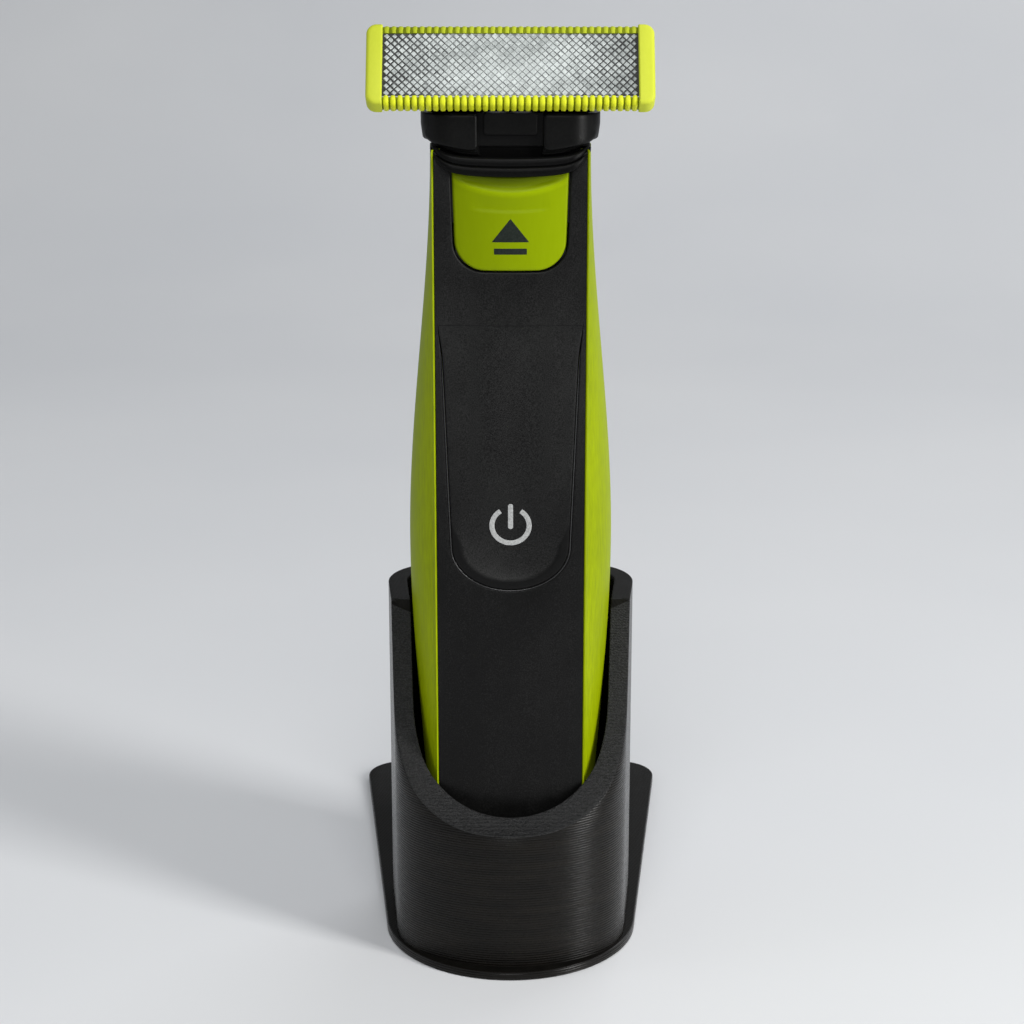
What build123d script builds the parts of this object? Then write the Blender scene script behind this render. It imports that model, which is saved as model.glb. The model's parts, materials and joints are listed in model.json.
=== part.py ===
"""Desk stand with a cordless trimmer standing in it, as separate pieces.

Millimetres. +Z is up and the trimmer's front faces -Y. The origin is on the
underside of the base plate, half way along the plate's length.
"""

import os
from math import asin, atan2, cos, degrees, radians, sin

from build123d import *

os.makedirs("parts", exist_ok=True)

# Clearances
seam = 0.06
running_fit = 0.05
moving_gap = 0.3
button_gap = 0.25

# Stand: base plate
plate_length = 88.0
plate_thickness = 1.5
plate_overhang = 2.0
plate_front_radius = 20.7
plate_rear_half_width = 28.0
plate_rear_corner = 6.5
plate_rear_bow = 1.2

# Stand: cup
cup_depth = 37.7
cup_front_half_width = 18.8
cup_front_depth = 14.3
cup_rear_half_width = 21.0
cup_corner_radius = 12.0
cup_rear_corner = 9.0
cup_wall = 3.1
cup_floor = 2.5
cup_height = 57.4
lip_height = 24.1
scoop_length = 18.0
scoop_lip_reach = 4.0
scoop_lip_rise = 1.2
scoop_back_reach = 4.0
scoop_back_drop = 19.4

# Handle casing
handle_height = 128.5
handle_setback = 6.8
band_half_width = 11.4
front_crown = 0.5
widest_share = 0.45
foot_half_width = 12.6
foot_depth = 22.6
belly_height = 65.5
belly_half_width = 16.05
belly_depth = 27.5
neck_half_width = 12.1
neck_depth = 17.5
casing_wall = 1.8
foot_cap_height = 2.5
foot_cap_edge = 1.2
grip_rib_count = 9
grip_rib_pitch = 5.0
grip_rib_depth = 0.5
grip_rib_height = 1.6
grip_rib_half_width = 8.0

# Power button: a long tongue hinged across its upper end
button_drop = 26.2
button_height = 42.0
button_top_half_width = 10.7
button_bottom_half_width = 8.7
button_corner = 5.5
button_thickness = 1.45
button_travel = 0.8
symbol_rise = 10.5
switch_rise = 8.2
led_gap = 1.9
dish_radius = 62.0
dish_depth = 0.5

# Release slider
slider_drop = 17.9
slider_height = 14.0
slider_top_half_width = 8.75
slider_bottom_half_width = 8.25
slider_corner = 4.6
slider_thickness = 1.65
slider_proud = 0.35
slider_travel = 2.5
slider_ridge_count = 2
slider_ridge_pitch = 3.2
slider_ridge_half_width = 5.8
slider_ridge_height = 0.7
slider_ridge_rise = 0.25
latch_bar_half_width = 2.6
latch_bar_thickness = 1.2
latch_stem_half_width = 1.7
latch_stem_height = 4.0
latch_bar_height = 14.2
latch_bar_drop = 0.8
spring_wire = 0.25

# Neck collar
collar_height = 4.5
collar_front_proud = 1.4
collar_crown = 0.3
collar_side_proud = 0.25
collar_back_proud = 0.5
collar_smile = 3.3
collar_steps = (0.0, -0.3, -0.1)
collar_above_handle = 0.5
seal_radius = 4.3

# Inside the handle
board_half_width = 8.5
board_bottom = 17.5
board_margin = 0.5
board_thickness = 1.2
board_setback = 3.8
switch_half_width = 3.0
switch_thickness = 1.1
switch_dome_radius = 1.5
switch_dome_height = 0.4
led_size = 1.6
chassis_plate = 1.0
chassis_half_width = 9.4
chassis_bottom = 3.2
chassis_margin = 5.0
upper_boss_gap = 2.7
chassis_wall = 1.5
battery_radius = 6.8
battery_length = 48.0
battery_bottom = 9.5
battery_gap = 0.2
tab_radius = 4.0
tab_thickness = 0.3
motor_radius = 7.6
motor_length = 24.0
motor_gap = 1.0
motor_setback = 10.5
motor_boss_radius = 3.0
motor_plate = 2.0
shaft_radius = 1.0
shaft_depth = 10.0
cam_radius = 3.2
cam_thickness = 3.0
cam_gap = 1.0
crank_radius = 0.62
crank_pin_radius = 0.5
crank_pin_length = 4.5
boss_radius = 2.0
boss_half_spacing = 6.0
lower_boss_height = 5.5
screw_radius = 0.8
screw_head_radius = 1.5
screw_head_height = 1.0
screw_length = 7.0
motor_screw_half_spacing = 5.0
socket_half_width = 3.6
socket_depth = 7.0
socket_height = 6.0
socket_recess_half_width = 2.8
socket_recess_depth = 3.6
socket_recess_height = 4.5
socket_setback = 10.4
charge_pin_radius = 0.5
charge_pin_length = 3.2
charge_pin_half_spacing = 1.3

# Drive lever
lever_lower_arm = 9.0
lever_crank_rise = 3.0
lever_boss_radius = 2.2
lever_half_depth = 2.4
lever_fork_wall = 1.3
lever_stem_radius = 0.8
lever_ball_radius = 0.9
lever_bend_rise = 2.0
pivot_pin_radius = 0.8
pivot_pin_half_length = 4.2
housing_height = 11.0
housing_front_plate = 1.2
housing_front_height = 19.5

# Blade head, on a face that leans back
face_lean = 32.0
face_rise = 12.5
face_setback = 0.4
blade_half_length = 21.1
end_cap_width = 2.4
face_half_height = 6.4
end_cap_front = 0.5
end_cap_back = 2.8
end_cap_corner = 1.1
foil_half_height = 5.25
foil_thickness = 0.8
comb_depth = 2.6
comb_nose = 0.9
comb_proud = 0.15
rail_thickness = 0.95
rail_inner = 4.95
rib_count = 36
rib_pitch = 1.035
rib_width = 0.62
cutter_thickness = 0.5
cutter_gap = 0.2
cutter_half_height = 5.0
cutter_slot_reach = 6.2
cutter_tooth_gap = 0.25
cutter_tooth_width = 0.45
cutter_end_gap = 0.15
drive_depth = 3.7
block_half_length = 6.5
block_half_height = 3.2
block_back = 4.2
tray_front = 4.8
tray_thickness = 1.0
tray_lower = 4.0
tray_upper = 4.6
tray_wall = 1.1
tilt_limit = 10.0
leaf_length = 2.4
leaf_width = 1.2
leaf_thickness = 0.3

# Blade carrier
carrier_height = 4.9
carrier_bottom_half_width = 12.65
carrier_top_half_width = 13.35
carrier_front_setback = 0.6
carrier_depth = 15.0
carrier_corner = 2.0
carrier_recess_half_width = 4.75
carrier_recess = 0.6
carrier_window_half_width = 3.0
carrier_window_front = 1.7
latch_tab_half_width = 3.95
latch_tab_height = 3.2
latch_tab_thickness = 0.45
riser_half_width = 12.0
riser_reach = 3.0
riser_back_setback = 2.0
arm_inner = 10.0
arm_thickness = 2.0
arm_half_depth = 1.55
tilt_pin_radius = 0.75
ear_gap = 0.3
ear_thickness = 2.0
ear_radius = 1.7

# Places worked out from the sizes above
plate_front = -plate_length / 2
cup_front = plate_front + plate_overhang
handle_bottom = cup_floor
handle_top = handle_bottom + handle_height
handle_front = cup_front + handle_setback
casing_inside = handle_front + casing_wall
board_front = handle_front + board_setback
chassis_front = board_front + board_thickness
chassis_back = chassis_front + chassis_plate
battery_y = chassis_back + battery_gap + battery_radius
motor_y = handle_front + motor_setback
button_top = handle_height - button_drop
button_bottom = button_top - button_height
symbol_height = button_bottom + symbol_rise
switch_height = button_bottom + switch_rise
led_height = switch_height + switch_half_width + led_gap + led_size / 2
board_top = led_height + led_size / 2 + board_margin
upper_boss_height = board_top + upper_boss_gap
chassis_top = board_top + chassis_margin
motor_z = handle_bottom + chassis_top + motor_gap
motor_top = motor_z + motor_length
cam_bottom = motor_top + motor_plate + cam_gap
cam_top = cam_bottom + cam_thickness
crank_z = cam_top + lever_crank_rise
pivot_z = crank_z + lever_lower_arm
button_hinge_z = handle_bottom + button_top
slider_z = handle_top - slider_drop
collar_top = handle_top + collar_above_handle
front_plane = Plane.XZ.offset(-handle_front)

face_up = (0.0, sin(radians(face_lean)), cos(radians(face_lean)))
face_out = (0.0, -cos(radians(face_lean)), sin(radians(face_lean)))
face_y = handle_front + face_setback
face_z = handle_top + face_rise
face_plane = Plane(origin=(0, face_y, face_z), x_dir=(1, 0, 0), z_dir=face_out)
tilt_y = face_y - drive_depth * face_out[1]
tilt_z = face_z - drive_depth * face_out[2]
foil_half_length = blade_half_length - end_cap_width


def finish(piece, name):
    """Label a finished piece and write it to its own file."""
    piece.part.label = name
    export_step(piece.part, f"parts/{name}.step")


def arch_radius(half_width, depth, corner):
    """Front radius of an arch of three tangent arcs with the given corner arcs."""
    reach = half_width - corner
    return (reach**2 + depth**2 - corner**2) / (2 * (depth - corner))


def cup_outline():
    """The cup's outline seen from above: a flattened arch, straight sides, round rear corners."""
    nose = arch_radius(cup_front_half_width, cup_front_depth, cup_corner_radius)
    corner_x = cup_front_half_width - cup_corner_radius
    slope = atan2(cup_rear_half_width - cup_front_half_width, cup_depth - cup_front_depth)
    turn = asin(corner_x / (nose - cup_corner_radius))
    front_join = (nose * sin(turn), cup_front + nose - nose * cos(turn))
    side_join = (
        corner_x + cup_corner_radius * cos(slope),
        cup_front + cup_front_depth - cup_corner_radius * sin(slope),
    )
    rear = (cup_rear_half_width, cup_front + cup_depth)
    with BuildSketch() as outline:
        with BuildLine():
            ThreePointArc((-front_join[0], front_join[1]), (0, cup_front), front_join)
            TangentArc(front_join, side_join, tangent=(cos(turn), sin(turn)))
            Polyline(side_join, rear, (-rear[0], rear[1]), (-side_join[0], side_join[1]))
            TangentArc(
                (-front_join[0], front_join[1]),
                (-side_join[0], side_join[1]),
                tangent=(-cos(turn), sin(turn)),
            )
        make_face()
        fillet(outline.vertices().group_by(Axis.Y)[-1], cup_rear_corner)
    return outline.sketch


def ease(share):
    """A blend from 0 to 1 that starts and ends level."""
    return share**2 * (3 - 2 * share)


def handle_section(height, inset):
    """The handle's closed outline at a height above its foot, drawn in by a wall."""
    if height <= belly_height:
        share = ease(height / belly_height)
        half_width = foot_half_width + (belly_half_width - foot_half_width) * share
        depth = foot_depth + (belly_depth - foot_depth) * share
    else:
        share = ease((height - belly_height) / (handle_height - belly_height))
        half_width = belly_half_width + (neck_half_width - belly_half_width) * share
        depth = belly_depth + (neck_depth - belly_depth) * share
    widest = handle_front + widest_share * depth
    front = handle_front + inset
    band = band_half_width - inset / 2
    width = half_width - inset
    back = handle_front + depth - inset
    with BuildSketch(Plane.XY.offset(handle_bottom + height)) as section:
        with BuildLine():
            ThreePointArc((-band, front + front_crown), (0, front), (band, front + front_crown))
            TangentArc((width, widest), (band, front + front_crown), tangent=(0, -1))
            EllipticalCenterArc((0, widest), width, back - widest, 0, arc_size=90)
            EllipticalCenterArc((0, widest), width, back - widest, 90, arc_size=90)
            TangentArc((-width, widest), (-band, front + front_crown), tangent=(0, -1))
        make_face()
    return section.sketch


def handle_levels():
    """Heights of the outlines that the casing runs through."""
    below = [belly_height * step / 2 for step in range(2)]
    above = [belly_height + (handle_height - belly_height) * step / 3 for step in range(4)]
    return below + above


# Stand: one printed piece, a scooped cup on a base plate
plate_rear = plate_front + plate_length
plate_slope = atan2(plate_rear_half_width - plate_front_radius, plate_length - plate_front_radius)
plate_join = (
    plate_front_radius * cos(plate_slope),
    plate_front + plate_front_radius * (1 - sin(plate_slope)),
)
with BuildPart() as stand_body:
    with BuildSketch() as plate_outline:
        with BuildLine():
            ThreePointArc((-plate_join[0], plate_join[1]), (0, plate_front), plate_join)
            Line(plate_join, (plate_rear_half_width, plate_rear - plate_rear_bow))
            ThreePointArc(
                (plate_rear_half_width, plate_rear - plate_rear_bow),
                (0, plate_rear),
                (-plate_rear_half_width, plate_rear - plate_rear_bow),
            )
            Line((-plate_rear_half_width, plate_rear - plate_rear_bow), (-plate_join[0], plate_join[1]))
        make_face()
        fillet(plate_outline.vertices().group_by(Axis.Y)[-1], plate_rear_corner)
    extrude(amount=plate_thickness)
    with BuildSketch():
        add(cup_outline())
    extrude(amount=cup_height)
    with BuildSketch(Plane.XY.offset(cup_floor)):
        offset(cup_outline(), amount=-cup_wall)
    extrude(amount=cup_height, mode=Mode.SUBTRACT)
    with BuildSketch(Plane.YZ):
        with BuildLine():
            rim = Bezier(
                (cup_front, lip_height),
                (cup_front + scoop_lip_reach, lip_height + scoop_lip_rise),
                (cup_front + scoop_length - scoop_back_reach, cup_height - scoop_back_drop),
                (cup_front + scoop_length, cup_height),
            )
            Polyline(
                rim @ 1,
                (cup_front + scoop_length, cup_height + plate_overhang),
                (cup_front - plate_overhang, cup_height + plate_overhang),
                (cup_front - plate_overhang, lip_height),
                rim @ 0,
            )
        make_face()
    extrude(amount=plate_rear_half_width, both=True, mode=Mode.SUBTRACT)
finish(stand_body, "stand_body")

# Solid bodies that the casing pieces are cut from
with BuildPart() as handle_outside:
    loft([handle_section(level, 0) for level in handle_levels()])
with BuildPart() as handle_inside:
    loft([handle_section(level, casing_wall) for level in handle_levels()])


def slab(low, high):
    """A wide block between two heights above the handle's foot, for cutting the casing."""
    with BuildPart() as block:
        with BuildSketch(Plane.XY.offset(handle_bottom + low)):
            Rectangle(4 * belly_half_width, 2 * plate_length)
        extrude(amount=high - low)
    return block.part


def tongue_outline(gap):
    """The power button's outline on the front, grown by a gap."""
    with BuildSketch(front_plane) as outline:
        with BuildLine():
            Polyline(
                (-button_bottom_half_width - gap, handle_bottom + button_bottom - gap),
                (-button_top_half_width - gap, button_hinge_z),
                (button_top_half_width + gap, button_hinge_z),
                (button_bottom_half_width + gap, handle_bottom + button_bottom - gap),
                close=True,
            )
        make_face()
        fillet(outline.vertices().group_by(Axis.Y)[0], button_corner + gap)
    return outline.sketch


def slider_outline(gap, lift, proud=0.0):
    """The release slider's outline: narrower at its round foot, with a top that follows the collar."""
    foot = slider_bottom_half_width + gap
    head = slider_top_half_width + gap
    bottom = slider_z - gap
    top = slider_z + slider_height + lift
    sag = collar_smile * (head / neck_half_width) ** 2
    with BuildSketch(front_plane.offset(proud)) as outline:
        with BuildLine():
            Polyline((-head, top + sag), (-foot, bottom), (foot, bottom), (head, top + sag))
            ThreePointArc((head, top + sag), (0, top), (-head, top + sag))
        make_face()
        fillet(outline.vertices().group_by(Axis.Y)[0], slider_corner)
    return outline.sketch


def screw_places():
    """Centres of the four chassis screws on the front plane."""
    heights = (lower_boss_height, upper_boss_height)
    return [(side * boss_half_spacing, handle_bottom + height) for height in heights for side in (-1, 1)]


def along_x(inner):
    """A sketch plane across the blade head at x = inner, its axes up the face and out of it."""
    return Plane(origin=(inner, face_y, face_z), x_dir=face_up, z_dir=(1, 0, 0))


# Back shell: sides and back in one moulding, open along the front band
with BuildPart() as bosses:
    with BuildSketch(Plane.XZ.offset(-chassis_back)):
        with Locations(*screw_places()):
            Circle(boss_radius)
        with Locations(*screw_places()):
            Circle(screw_radius, mode=Mode.SUBTRACT)
    extrude(amount=-belly_depth)
    add(handle_inside.part, mode=Mode.INTERSECT)
with BuildPart() as grip_grooves:
    with BuildSketch(Plane.XZ.offset(-handle_front - belly_depth)):
        with Locations((0, handle_bottom + belly_height)):
            with GridLocations(0, grip_rib_pitch, 1, grip_rib_count):
                SlotOverall(2 * grip_rib_half_width, grip_rib_height)
    extrude(amount=belly_depth / 2, both=True)
    loft([handle_section(level, grip_rib_depth) for level in handle_levels()], mode=Mode.SUBTRACT)
with BuildPart() as back_shell:
    add(handle_outside.part)
    add(handle_inside.part, mode=Mode.SUBTRACT)
    with BuildSketch(front_plane):
        with Locations((0, handle_bottom + handle_height / 2)):
            Rectangle(2 * band_half_width, 2 * handle_height)
    extrude(amount=-(casing_wall + front_crown), mode=Mode.SUBTRACT)
    add(slab(0, foot_cap_height), mode=Mode.SUBTRACT)
    add(bosses.part)
    add(grip_grooves.part, mode=Mode.SUBTRACT)
finish(back_shell, "back_shell")

# Front cover: the flat black band, cut out for the tongue and the slider
with BuildPart() as front_cover:
    add(handle_outside.part)
    with BuildSketch(front_plane):
        with Locations((0, handle_bottom + handle_height / 2)):
            Rectangle(2 * (band_half_width - seam), 2 * handle_height)
    extrude(amount=-casing_wall, mode=Mode.INTERSECT)
    add(slab(0, foot_cap_height), mode=Mode.SUBTRACT)
    extrude(tongue_outline(button_gap), amount=2 * casing_wall, both=True, mode=Mode.SUBTRACT)
    extrude(slider_outline(button_gap, collar_height), amount=2 * casing_wall, both=True, mode=Mode.SUBTRACT)
finish(front_cover, "front_cover")

# Power button: the tongue, with a shallow thumb dish round the symbol
with BuildPart() as power_button:
    add(handle_outside.part)
    extrude(tongue_outline(0), amount=-button_thickness, mode=Mode.INTERSECT)
    with BuildSketch(Plane.XY.offset(button_hinge_z - button_gap / 2)):
        Rectangle(4 * belly_half_width, 2 * plate_length)
    extrude(amount=button_gap, mode=Mode.SUBTRACT)
    with Locations((0, handle_front + dish_depth - dish_radius, handle_bottom + symbol_height)):
        Sphere(dish_radius, mode=Mode.SUBTRACT)
finish(power_button, "power_button")

# Foot cap: closes the lower end and holds the charging socket
with BuildPart() as foot_cap:
    add(handle_outside.part)
    add(slab(0, foot_cap_height), mode=Mode.INTERSECT)
    fillet(foot_cap.edges().group_by(Axis.Z)[0], foot_cap_edge)
    with BuildSketch(Plane.XY.offset(handle_bottom)):
        with Locations((0, handle_front + socket_setback)):
            Rectangle(2 * socket_half_width, socket_depth)
    extrude(amount=foot_cap_height, mode=Mode.SUBTRACT)
finish(foot_cap, "foot_cap")

# Charging socket and its two contact pins
with BuildPart() as charge_socket:
    with BuildSketch(Plane.XY.offset(handle_bottom)):
        with Locations((0, handle_front + socket_setback)):
            Rectangle(2 * socket_half_width, socket_depth)
    extrude(amount=socket_height)
    with BuildSketch(Plane.XY.offset(handle_bottom)):
        with Locations((0, handle_front + socket_setback)):
            RectangleRounded(2 * socket_recess_half_width, socket_recess_depth, socket_recess_depth / 3)
    extrude(amount=socket_recess_height, mode=Mode.SUBTRACT)
finish(charge_socket, "charge_socket")
with BuildPart() as charge_pins:
    with BuildSketch(Plane.XY.offset(handle_bottom + socket_recess_height)):
        with Locations((0, handle_front + socket_setback)):
            with GridLocations(2 * charge_pin_half_spacing, 0, 2, 1):
                Circle(charge_pin_radius)
    extrude(amount=-charge_pin_length)
finish(charge_pins, "charge_pins")

# Chassis: a tray behind the circuit board with a wall at each end of the battery
battery_z = handle_bottom + battery_bottom
wall_heights = (
    battery_bottom - tab_thickness - chassis_wall,
    battery_bottom + battery_length + tab_thickness,
)
with BuildPart() as chassis_walls:
    for wall_height in wall_heights:
        add(slab(wall_height, wall_height + chassis_wall))
    add(handle_inside.part, mode=Mode.INTERSECT)
    with BuildSketch(Plane.XZ.offset(-chassis_front)):
        with Locations((0, handle_bottom + handle_height / 2)):
            Rectangle(4 * belly_half_width, 2 * handle_height)
    extrude(amount=-plate_length, mode=Mode.INTERSECT)
with BuildPart() as chassis:
    with BuildSketch(Plane.XZ.offset(-chassis_front)):
        with Locations((0, handle_bottom + (chassis_bottom + chassis_top) / 2)):
            Rectangle(2 * chassis_half_width, chassis_top - chassis_bottom)
        with Locations(*screw_places()):
            Circle(screw_radius, mode=Mode.SUBTRACT)
    extrude(amount=-chassis_plate)
    add(chassis_walls.part)
finish(chassis, "chassis")
with BuildPart() as chassis_screws:
    with BuildSketch(Plane.XZ.offset(-chassis_front)):
        with Locations(*screw_places()):
            Circle(screw_head_radius)
    extrude(amount=screw_head_height)
    with BuildSketch(Plane.XZ.offset(-chassis_front)):
        with Locations(*screw_places()):
            Circle(screw_radius)
    extrude(amount=-screw_length)
finish(chassis_screws, "chassis_screws")

# Circuit board, with the switch under the power button and a small lamp above it
with BuildPart() as circuit_board:
    with BuildSketch(Plane.XZ.offset(-board_front)):
        with Locations((0, handle_bottom + (board_bottom + board_top) / 2)):
            Rectangle(2 * board_half_width, board_top - board_bottom)
    extrude(amount=-board_thickness)
finish(circuit_board, "circuit_board")
with BuildPart() as power_switch:
    with BuildSketch(Plane.XZ.offset(-board_front)):
        with Locations((0, handle_bottom + switch_height)):
            Rectangle(2 * switch_half_width, 2 * switch_half_width)
    extrude(amount=switch_thickness)
    with BuildSketch(Plane.XZ.offset(-board_front + switch_thickness)):
        with Locations((0, handle_bottom + switch_height)):
            Circle(switch_dome_radius)
    extrude(amount=switch_dome_height)
finish(power_switch, "power_switch")
with BuildPart() as status_led:
    with BuildSketch(Plane.XZ.offset(-board_front)):
        with Locations((0, handle_bottom + led_height)):
            Rectangle(led_size, led_size)
    extrude(amount=switch_thickness)
finish(status_led, "status_led")

# Battery cell and the contact tabs at its ends
with BuildPart() as battery_cell:
    with BuildSketch(Plane.XY.offset(battery_z)):
        with Locations((0, battery_y)):
            Circle(battery_radius)
    extrude(amount=battery_length)
finish(battery_cell, "battery_cell")
with BuildPart() as battery_tabs:
    for tab_z in (battery_z - tab_thickness, battery_z + battery_length):
        with BuildSketch(Plane.XY.offset(tab_z)):
            with Locations((0, battery_y)):
                Circle(tab_radius)
        extrude(amount=tab_thickness)
finish(battery_tabs, "battery_tabs")

# Motor, its mounting plate and the two screws between them
shaft_bottom = motor_top - shaft_depth
motor_screw_places = [(-motor_screw_half_spacing, motor_y), (motor_screw_half_spacing, motor_y)]
with BuildPart() as motor_can:
    with BuildSketch(Plane.XY.offset(motor_z)):
        with Locations((0, motor_y)):
            Circle(motor_radius)
    extrude(amount=motor_length)
    with BuildSketch(Plane.XY.offset(motor_top)):
        with Locations((0, motor_y)):
            Circle(motor_boss_radius)
    extrude(amount=motor_plate)
    with BuildSketch(Plane.XY.offset(shaft_bottom - running_fit)):
        with Locations((0, motor_y)):
            Circle(shaft_radius + running_fit)
    extrude(amount=2 * shaft_depth, mode=Mode.SUBTRACT)
    with BuildSketch(Plane.XY.offset(motor_top)):
        with Locations(*motor_screw_places):
            Circle(screw_radius)
    extrude(amount=motor_plate - screw_length, mode=Mode.SUBTRACT)
finish(motor_can, "motor_can")
with BuildPart() as motor_mount:
    add(handle_inside.part)
    motor_top_height = motor_top - handle_bottom
    add(slab(motor_top_height, motor_top_height + motor_plate), mode=Mode.INTERSECT)
    with BuildSketch(Plane.XY.offset(motor_top)):
        with Locations((0, motor_y)):
            Circle(motor_boss_radius)
        with Locations(*motor_screw_places):
            Circle(screw_radius)
    extrude(amount=motor_plate, mode=Mode.SUBTRACT)
finish(motor_mount, "motor_mount")
with BuildPart() as motor_screws:
    with BuildSketch(Plane.XY.offset(motor_top + motor_plate)):
        with Locations(*motor_screw_places):
            Circle(screw_head_radius)
    extrude(amount=screw_head_height)
    with BuildSketch(Plane.XY.offset(motor_top + motor_plate)):
        with Locations(*motor_screw_places):
            Circle(screw_radius)
    extrude(amount=-screw_length)
finish(motor_screws, "motor_screws")

# Rotor: the shaft and the cam with its crank pin
with BuildPart() as rotor_shaft:
    with BuildSketch(Plane.XY.offset(shaft_bottom)):
        with Locations((0, motor_y)):
            Circle(shaft_radius)
    extrude(amount=cam_top - shaft_bottom)
finish(rotor_shaft, "rotor_shaft")
with BuildPart() as crank_cam:
    with BuildSketch(Plane.XY.offset(cam_bottom)):
        with Locations((0, motor_y)):
            Circle(cam_radius)
            Circle(shaft_radius, mode=Mode.SUBTRACT)
    extrude(amount=cam_thickness)
    with BuildSketch(Plane.XY.offset(cam_top)):
        with Locations((0, motor_y)):
            Circle(cam_radius / 2)
    extrude(amount=cam_gap / 2)
    with BuildSketch(Plane.XY.offset(cam_top)):
        with Locations((0, motor_y + crank_radius)):
            Circle(crank_pin_radius)
    extrude(amount=crank_pin_length)
finish(crank_cam, "crank_cam")

# Drive lever: a fork round the crank pin below, a ball in the cutter above
fork_slot = crank_pin_radius + 2 * crank_radius + running_fit * 2
fork_half_width = fork_slot + lever_fork_wall
fork_top = cam_top + crank_pin_length + moving_gap
fork_bottom = crank_z - lever_fork_wall
lever_bend_z = handle_top + lever_bend_rise
with BuildPart() as drive_lever:
    with BuildSketch(Plane.XZ.offset(-motor_y)):
        with Locations((0, (fork_bottom + fork_top + lever_fork_wall) / 2)):
            Rectangle(2 * fork_half_width, fork_top + lever_fork_wall - fork_bottom)
        with Locations((0, (fork_bottom + fork_top) / 2)):
            Rectangle(2 * fork_slot, fork_top - fork_bottom, mode=Mode.SUBTRACT)
        with Locations((0, (fork_top + pivot_z) / 2)):
            Rectangle(2 * lever_fork_wall, pivot_z - fork_top)
        with Locations((0, pivot_z)):
            Circle(lever_boss_radius)
    extrude(amount=lever_half_depth, both=True)
    with BuildLine():
        FilletPolyline(
            (0, motor_y, pivot_z),
            (0, motor_y, lever_bend_z),
            (0, tilt_y, tilt_z),
            radius=2 * lever_stem_radius,
        )
    with BuildSketch(Plane.XY.offset(pivot_z)):
        with Locations((0, motor_y)):
            Circle(lever_stem_radius)
    sweep()
    with Locations((0, tilt_y, tilt_z)):
        Sphere(lever_ball_radius)
    with BuildSketch(Plane.XZ.offset(-motor_y)):
        with Locations((0, pivot_z)):
            Circle(pivot_pin_radius + running_fit)
    extrude(amount=2 * lever_half_depth, both=True, mode=Mode.SUBTRACT)
finish(drive_lever, "drive_lever")
with BuildPart() as lever_pivot_pin:
    with BuildSketch(Plane.XZ.offset(-motor_y)):
        with Locations((0, pivot_z)):
            Circle(pivot_pin_radius)
    extrude(amount=pivot_pin_half_length, both=True)
finish(lever_pivot_pin, "lever_pivot_pin")

# Drive housing: fills the neck, carries the lever's pin and guides the latch bar
bar_front = casing_inside + housing_front_plate + button_gap
bar_top_z = handle_top - latch_bar_drop
bar_bottom_z = bar_top_z - latch_bar_height
stem_low = bar_bottom_z + latch_bar_thickness / 2
ledge_z = handle_top - housing_front_height
lever_room = fork_half_width + crank_radius + running_fit
with BuildPart() as drive_housing:
    add(handle_inside.part)
    add(slab(handle_height - housing_height, handle_height), mode=Mode.INTERSECT)
    with BuildSketch(Plane.XZ.offset(-casing_inside)):
        with Locations((0, (ledge_z + handle_top) / 2)):
            Rectangle(2 * slider_bottom_half_width, handle_top - ledge_z)
    extrude(amount=-housing_front_plate)
    with BuildSketch(Plane.XZ.offset(-casing_inside)):
        with Locations((0, ledge_z + housing_front_plate / 2)):
            Rectangle(2 * latch_bar_half_width, housing_front_plate)
    extrude(amount=-(housing_front_plate + 2 * button_gap + latch_bar_thickness))
    with BuildSketch(Plane.XY.offset(handle_top - housing_height)):
        with Locations((0, motor_y)):
            Rectangle(2 * lever_room, 2 * (lever_half_depth + moving_gap))
        with Locations((0, bar_front + latch_bar_thickness / 2)):
            Rectangle(2 * (latch_bar_half_width + button_gap), latch_bar_thickness + 2 * button_gap)
    extrude(amount=handle_height, mode=Mode.SUBTRACT)
    with BuildSketch(Plane.XZ.offset(-casing_inside)):
        with Locations((0, stem_low + (latch_stem_height + slider_travel) / 2)):
            Rectangle(
                2 * (latch_stem_half_width + button_gap),
                latch_stem_height + slider_travel + 2 * button_gap,
            )
    extrude(amount=-(housing_front_plate + button_gap), mode=Mode.SUBTRACT)
    with BuildSketch(Plane.XZ.offset(-motor_y)):
        with Locations((0, pivot_z)):
            Circle(pivot_pin_radius)
    extrude(amount=pivot_pin_half_length, both=True, mode=Mode.SUBTRACT)
finish(drive_housing, "drive_housing")

# Release slider with its stem and latch bar, and the spring that pulls it down
with BuildPart() as release_slider:
    extrude(slider_outline(0, 0), amount=slider_proud)
    extrude(slider_outline(0, 0), amount=slider_proud - slider_thickness)
    slider_rim = release_slider.faces().sort_by(Axis.Y)[0].edges()
    fillet(slider_rim, slider_proud)
    for ridge in range(slider_ridge_count):
        ridge_z = slider_z + slider_height - (ridge + 0.5) * slider_ridge_pitch
        with BuildSketch(Plane.XZ.offset(-handle_front + slider_proud)):
            with Locations((0, ridge_z)):
                SlotOverall(2 * slider_ridge_half_width, slider_ridge_height)
        extrude(amount=slider_ridge_rise)
    with BuildSketch(Plane.XZ.offset(-handle_front)):
        with Locations((0, stem_low + latch_stem_height / 2)):
            Rectangle(2 * latch_stem_half_width, latch_stem_height)
    extrude(amount=-(bar_front - handle_front + latch_bar_thickness / 2))
    with BuildSketch(Plane.XZ.offset(-bar_front)):
        with Locations((0, (bar_bottom_z + bar_top_z) / 2)):
            Rectangle(2 * latch_bar_half_width, bar_top_z - bar_bottom_z)
    extrude(amount=-latch_bar_thickness)
finish(release_slider, "release_slider")
spring_bottom = ledge_z + housing_front_plate
spring_radius = (latch_bar_thickness + button_gap) / 2
with BuildPart() as release_spring:
    with BuildSketch(Plane.XY.offset(spring_bottom)):
        with Locations((0, bar_front + latch_bar_thickness / 2)):
            Circle(spring_radius)
            Circle(spring_radius - spring_wire, mode=Mode.SUBTRACT)
    extrude(amount=bar_bottom_z - spring_bottom)
finish(release_spring, "release_spring")

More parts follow.
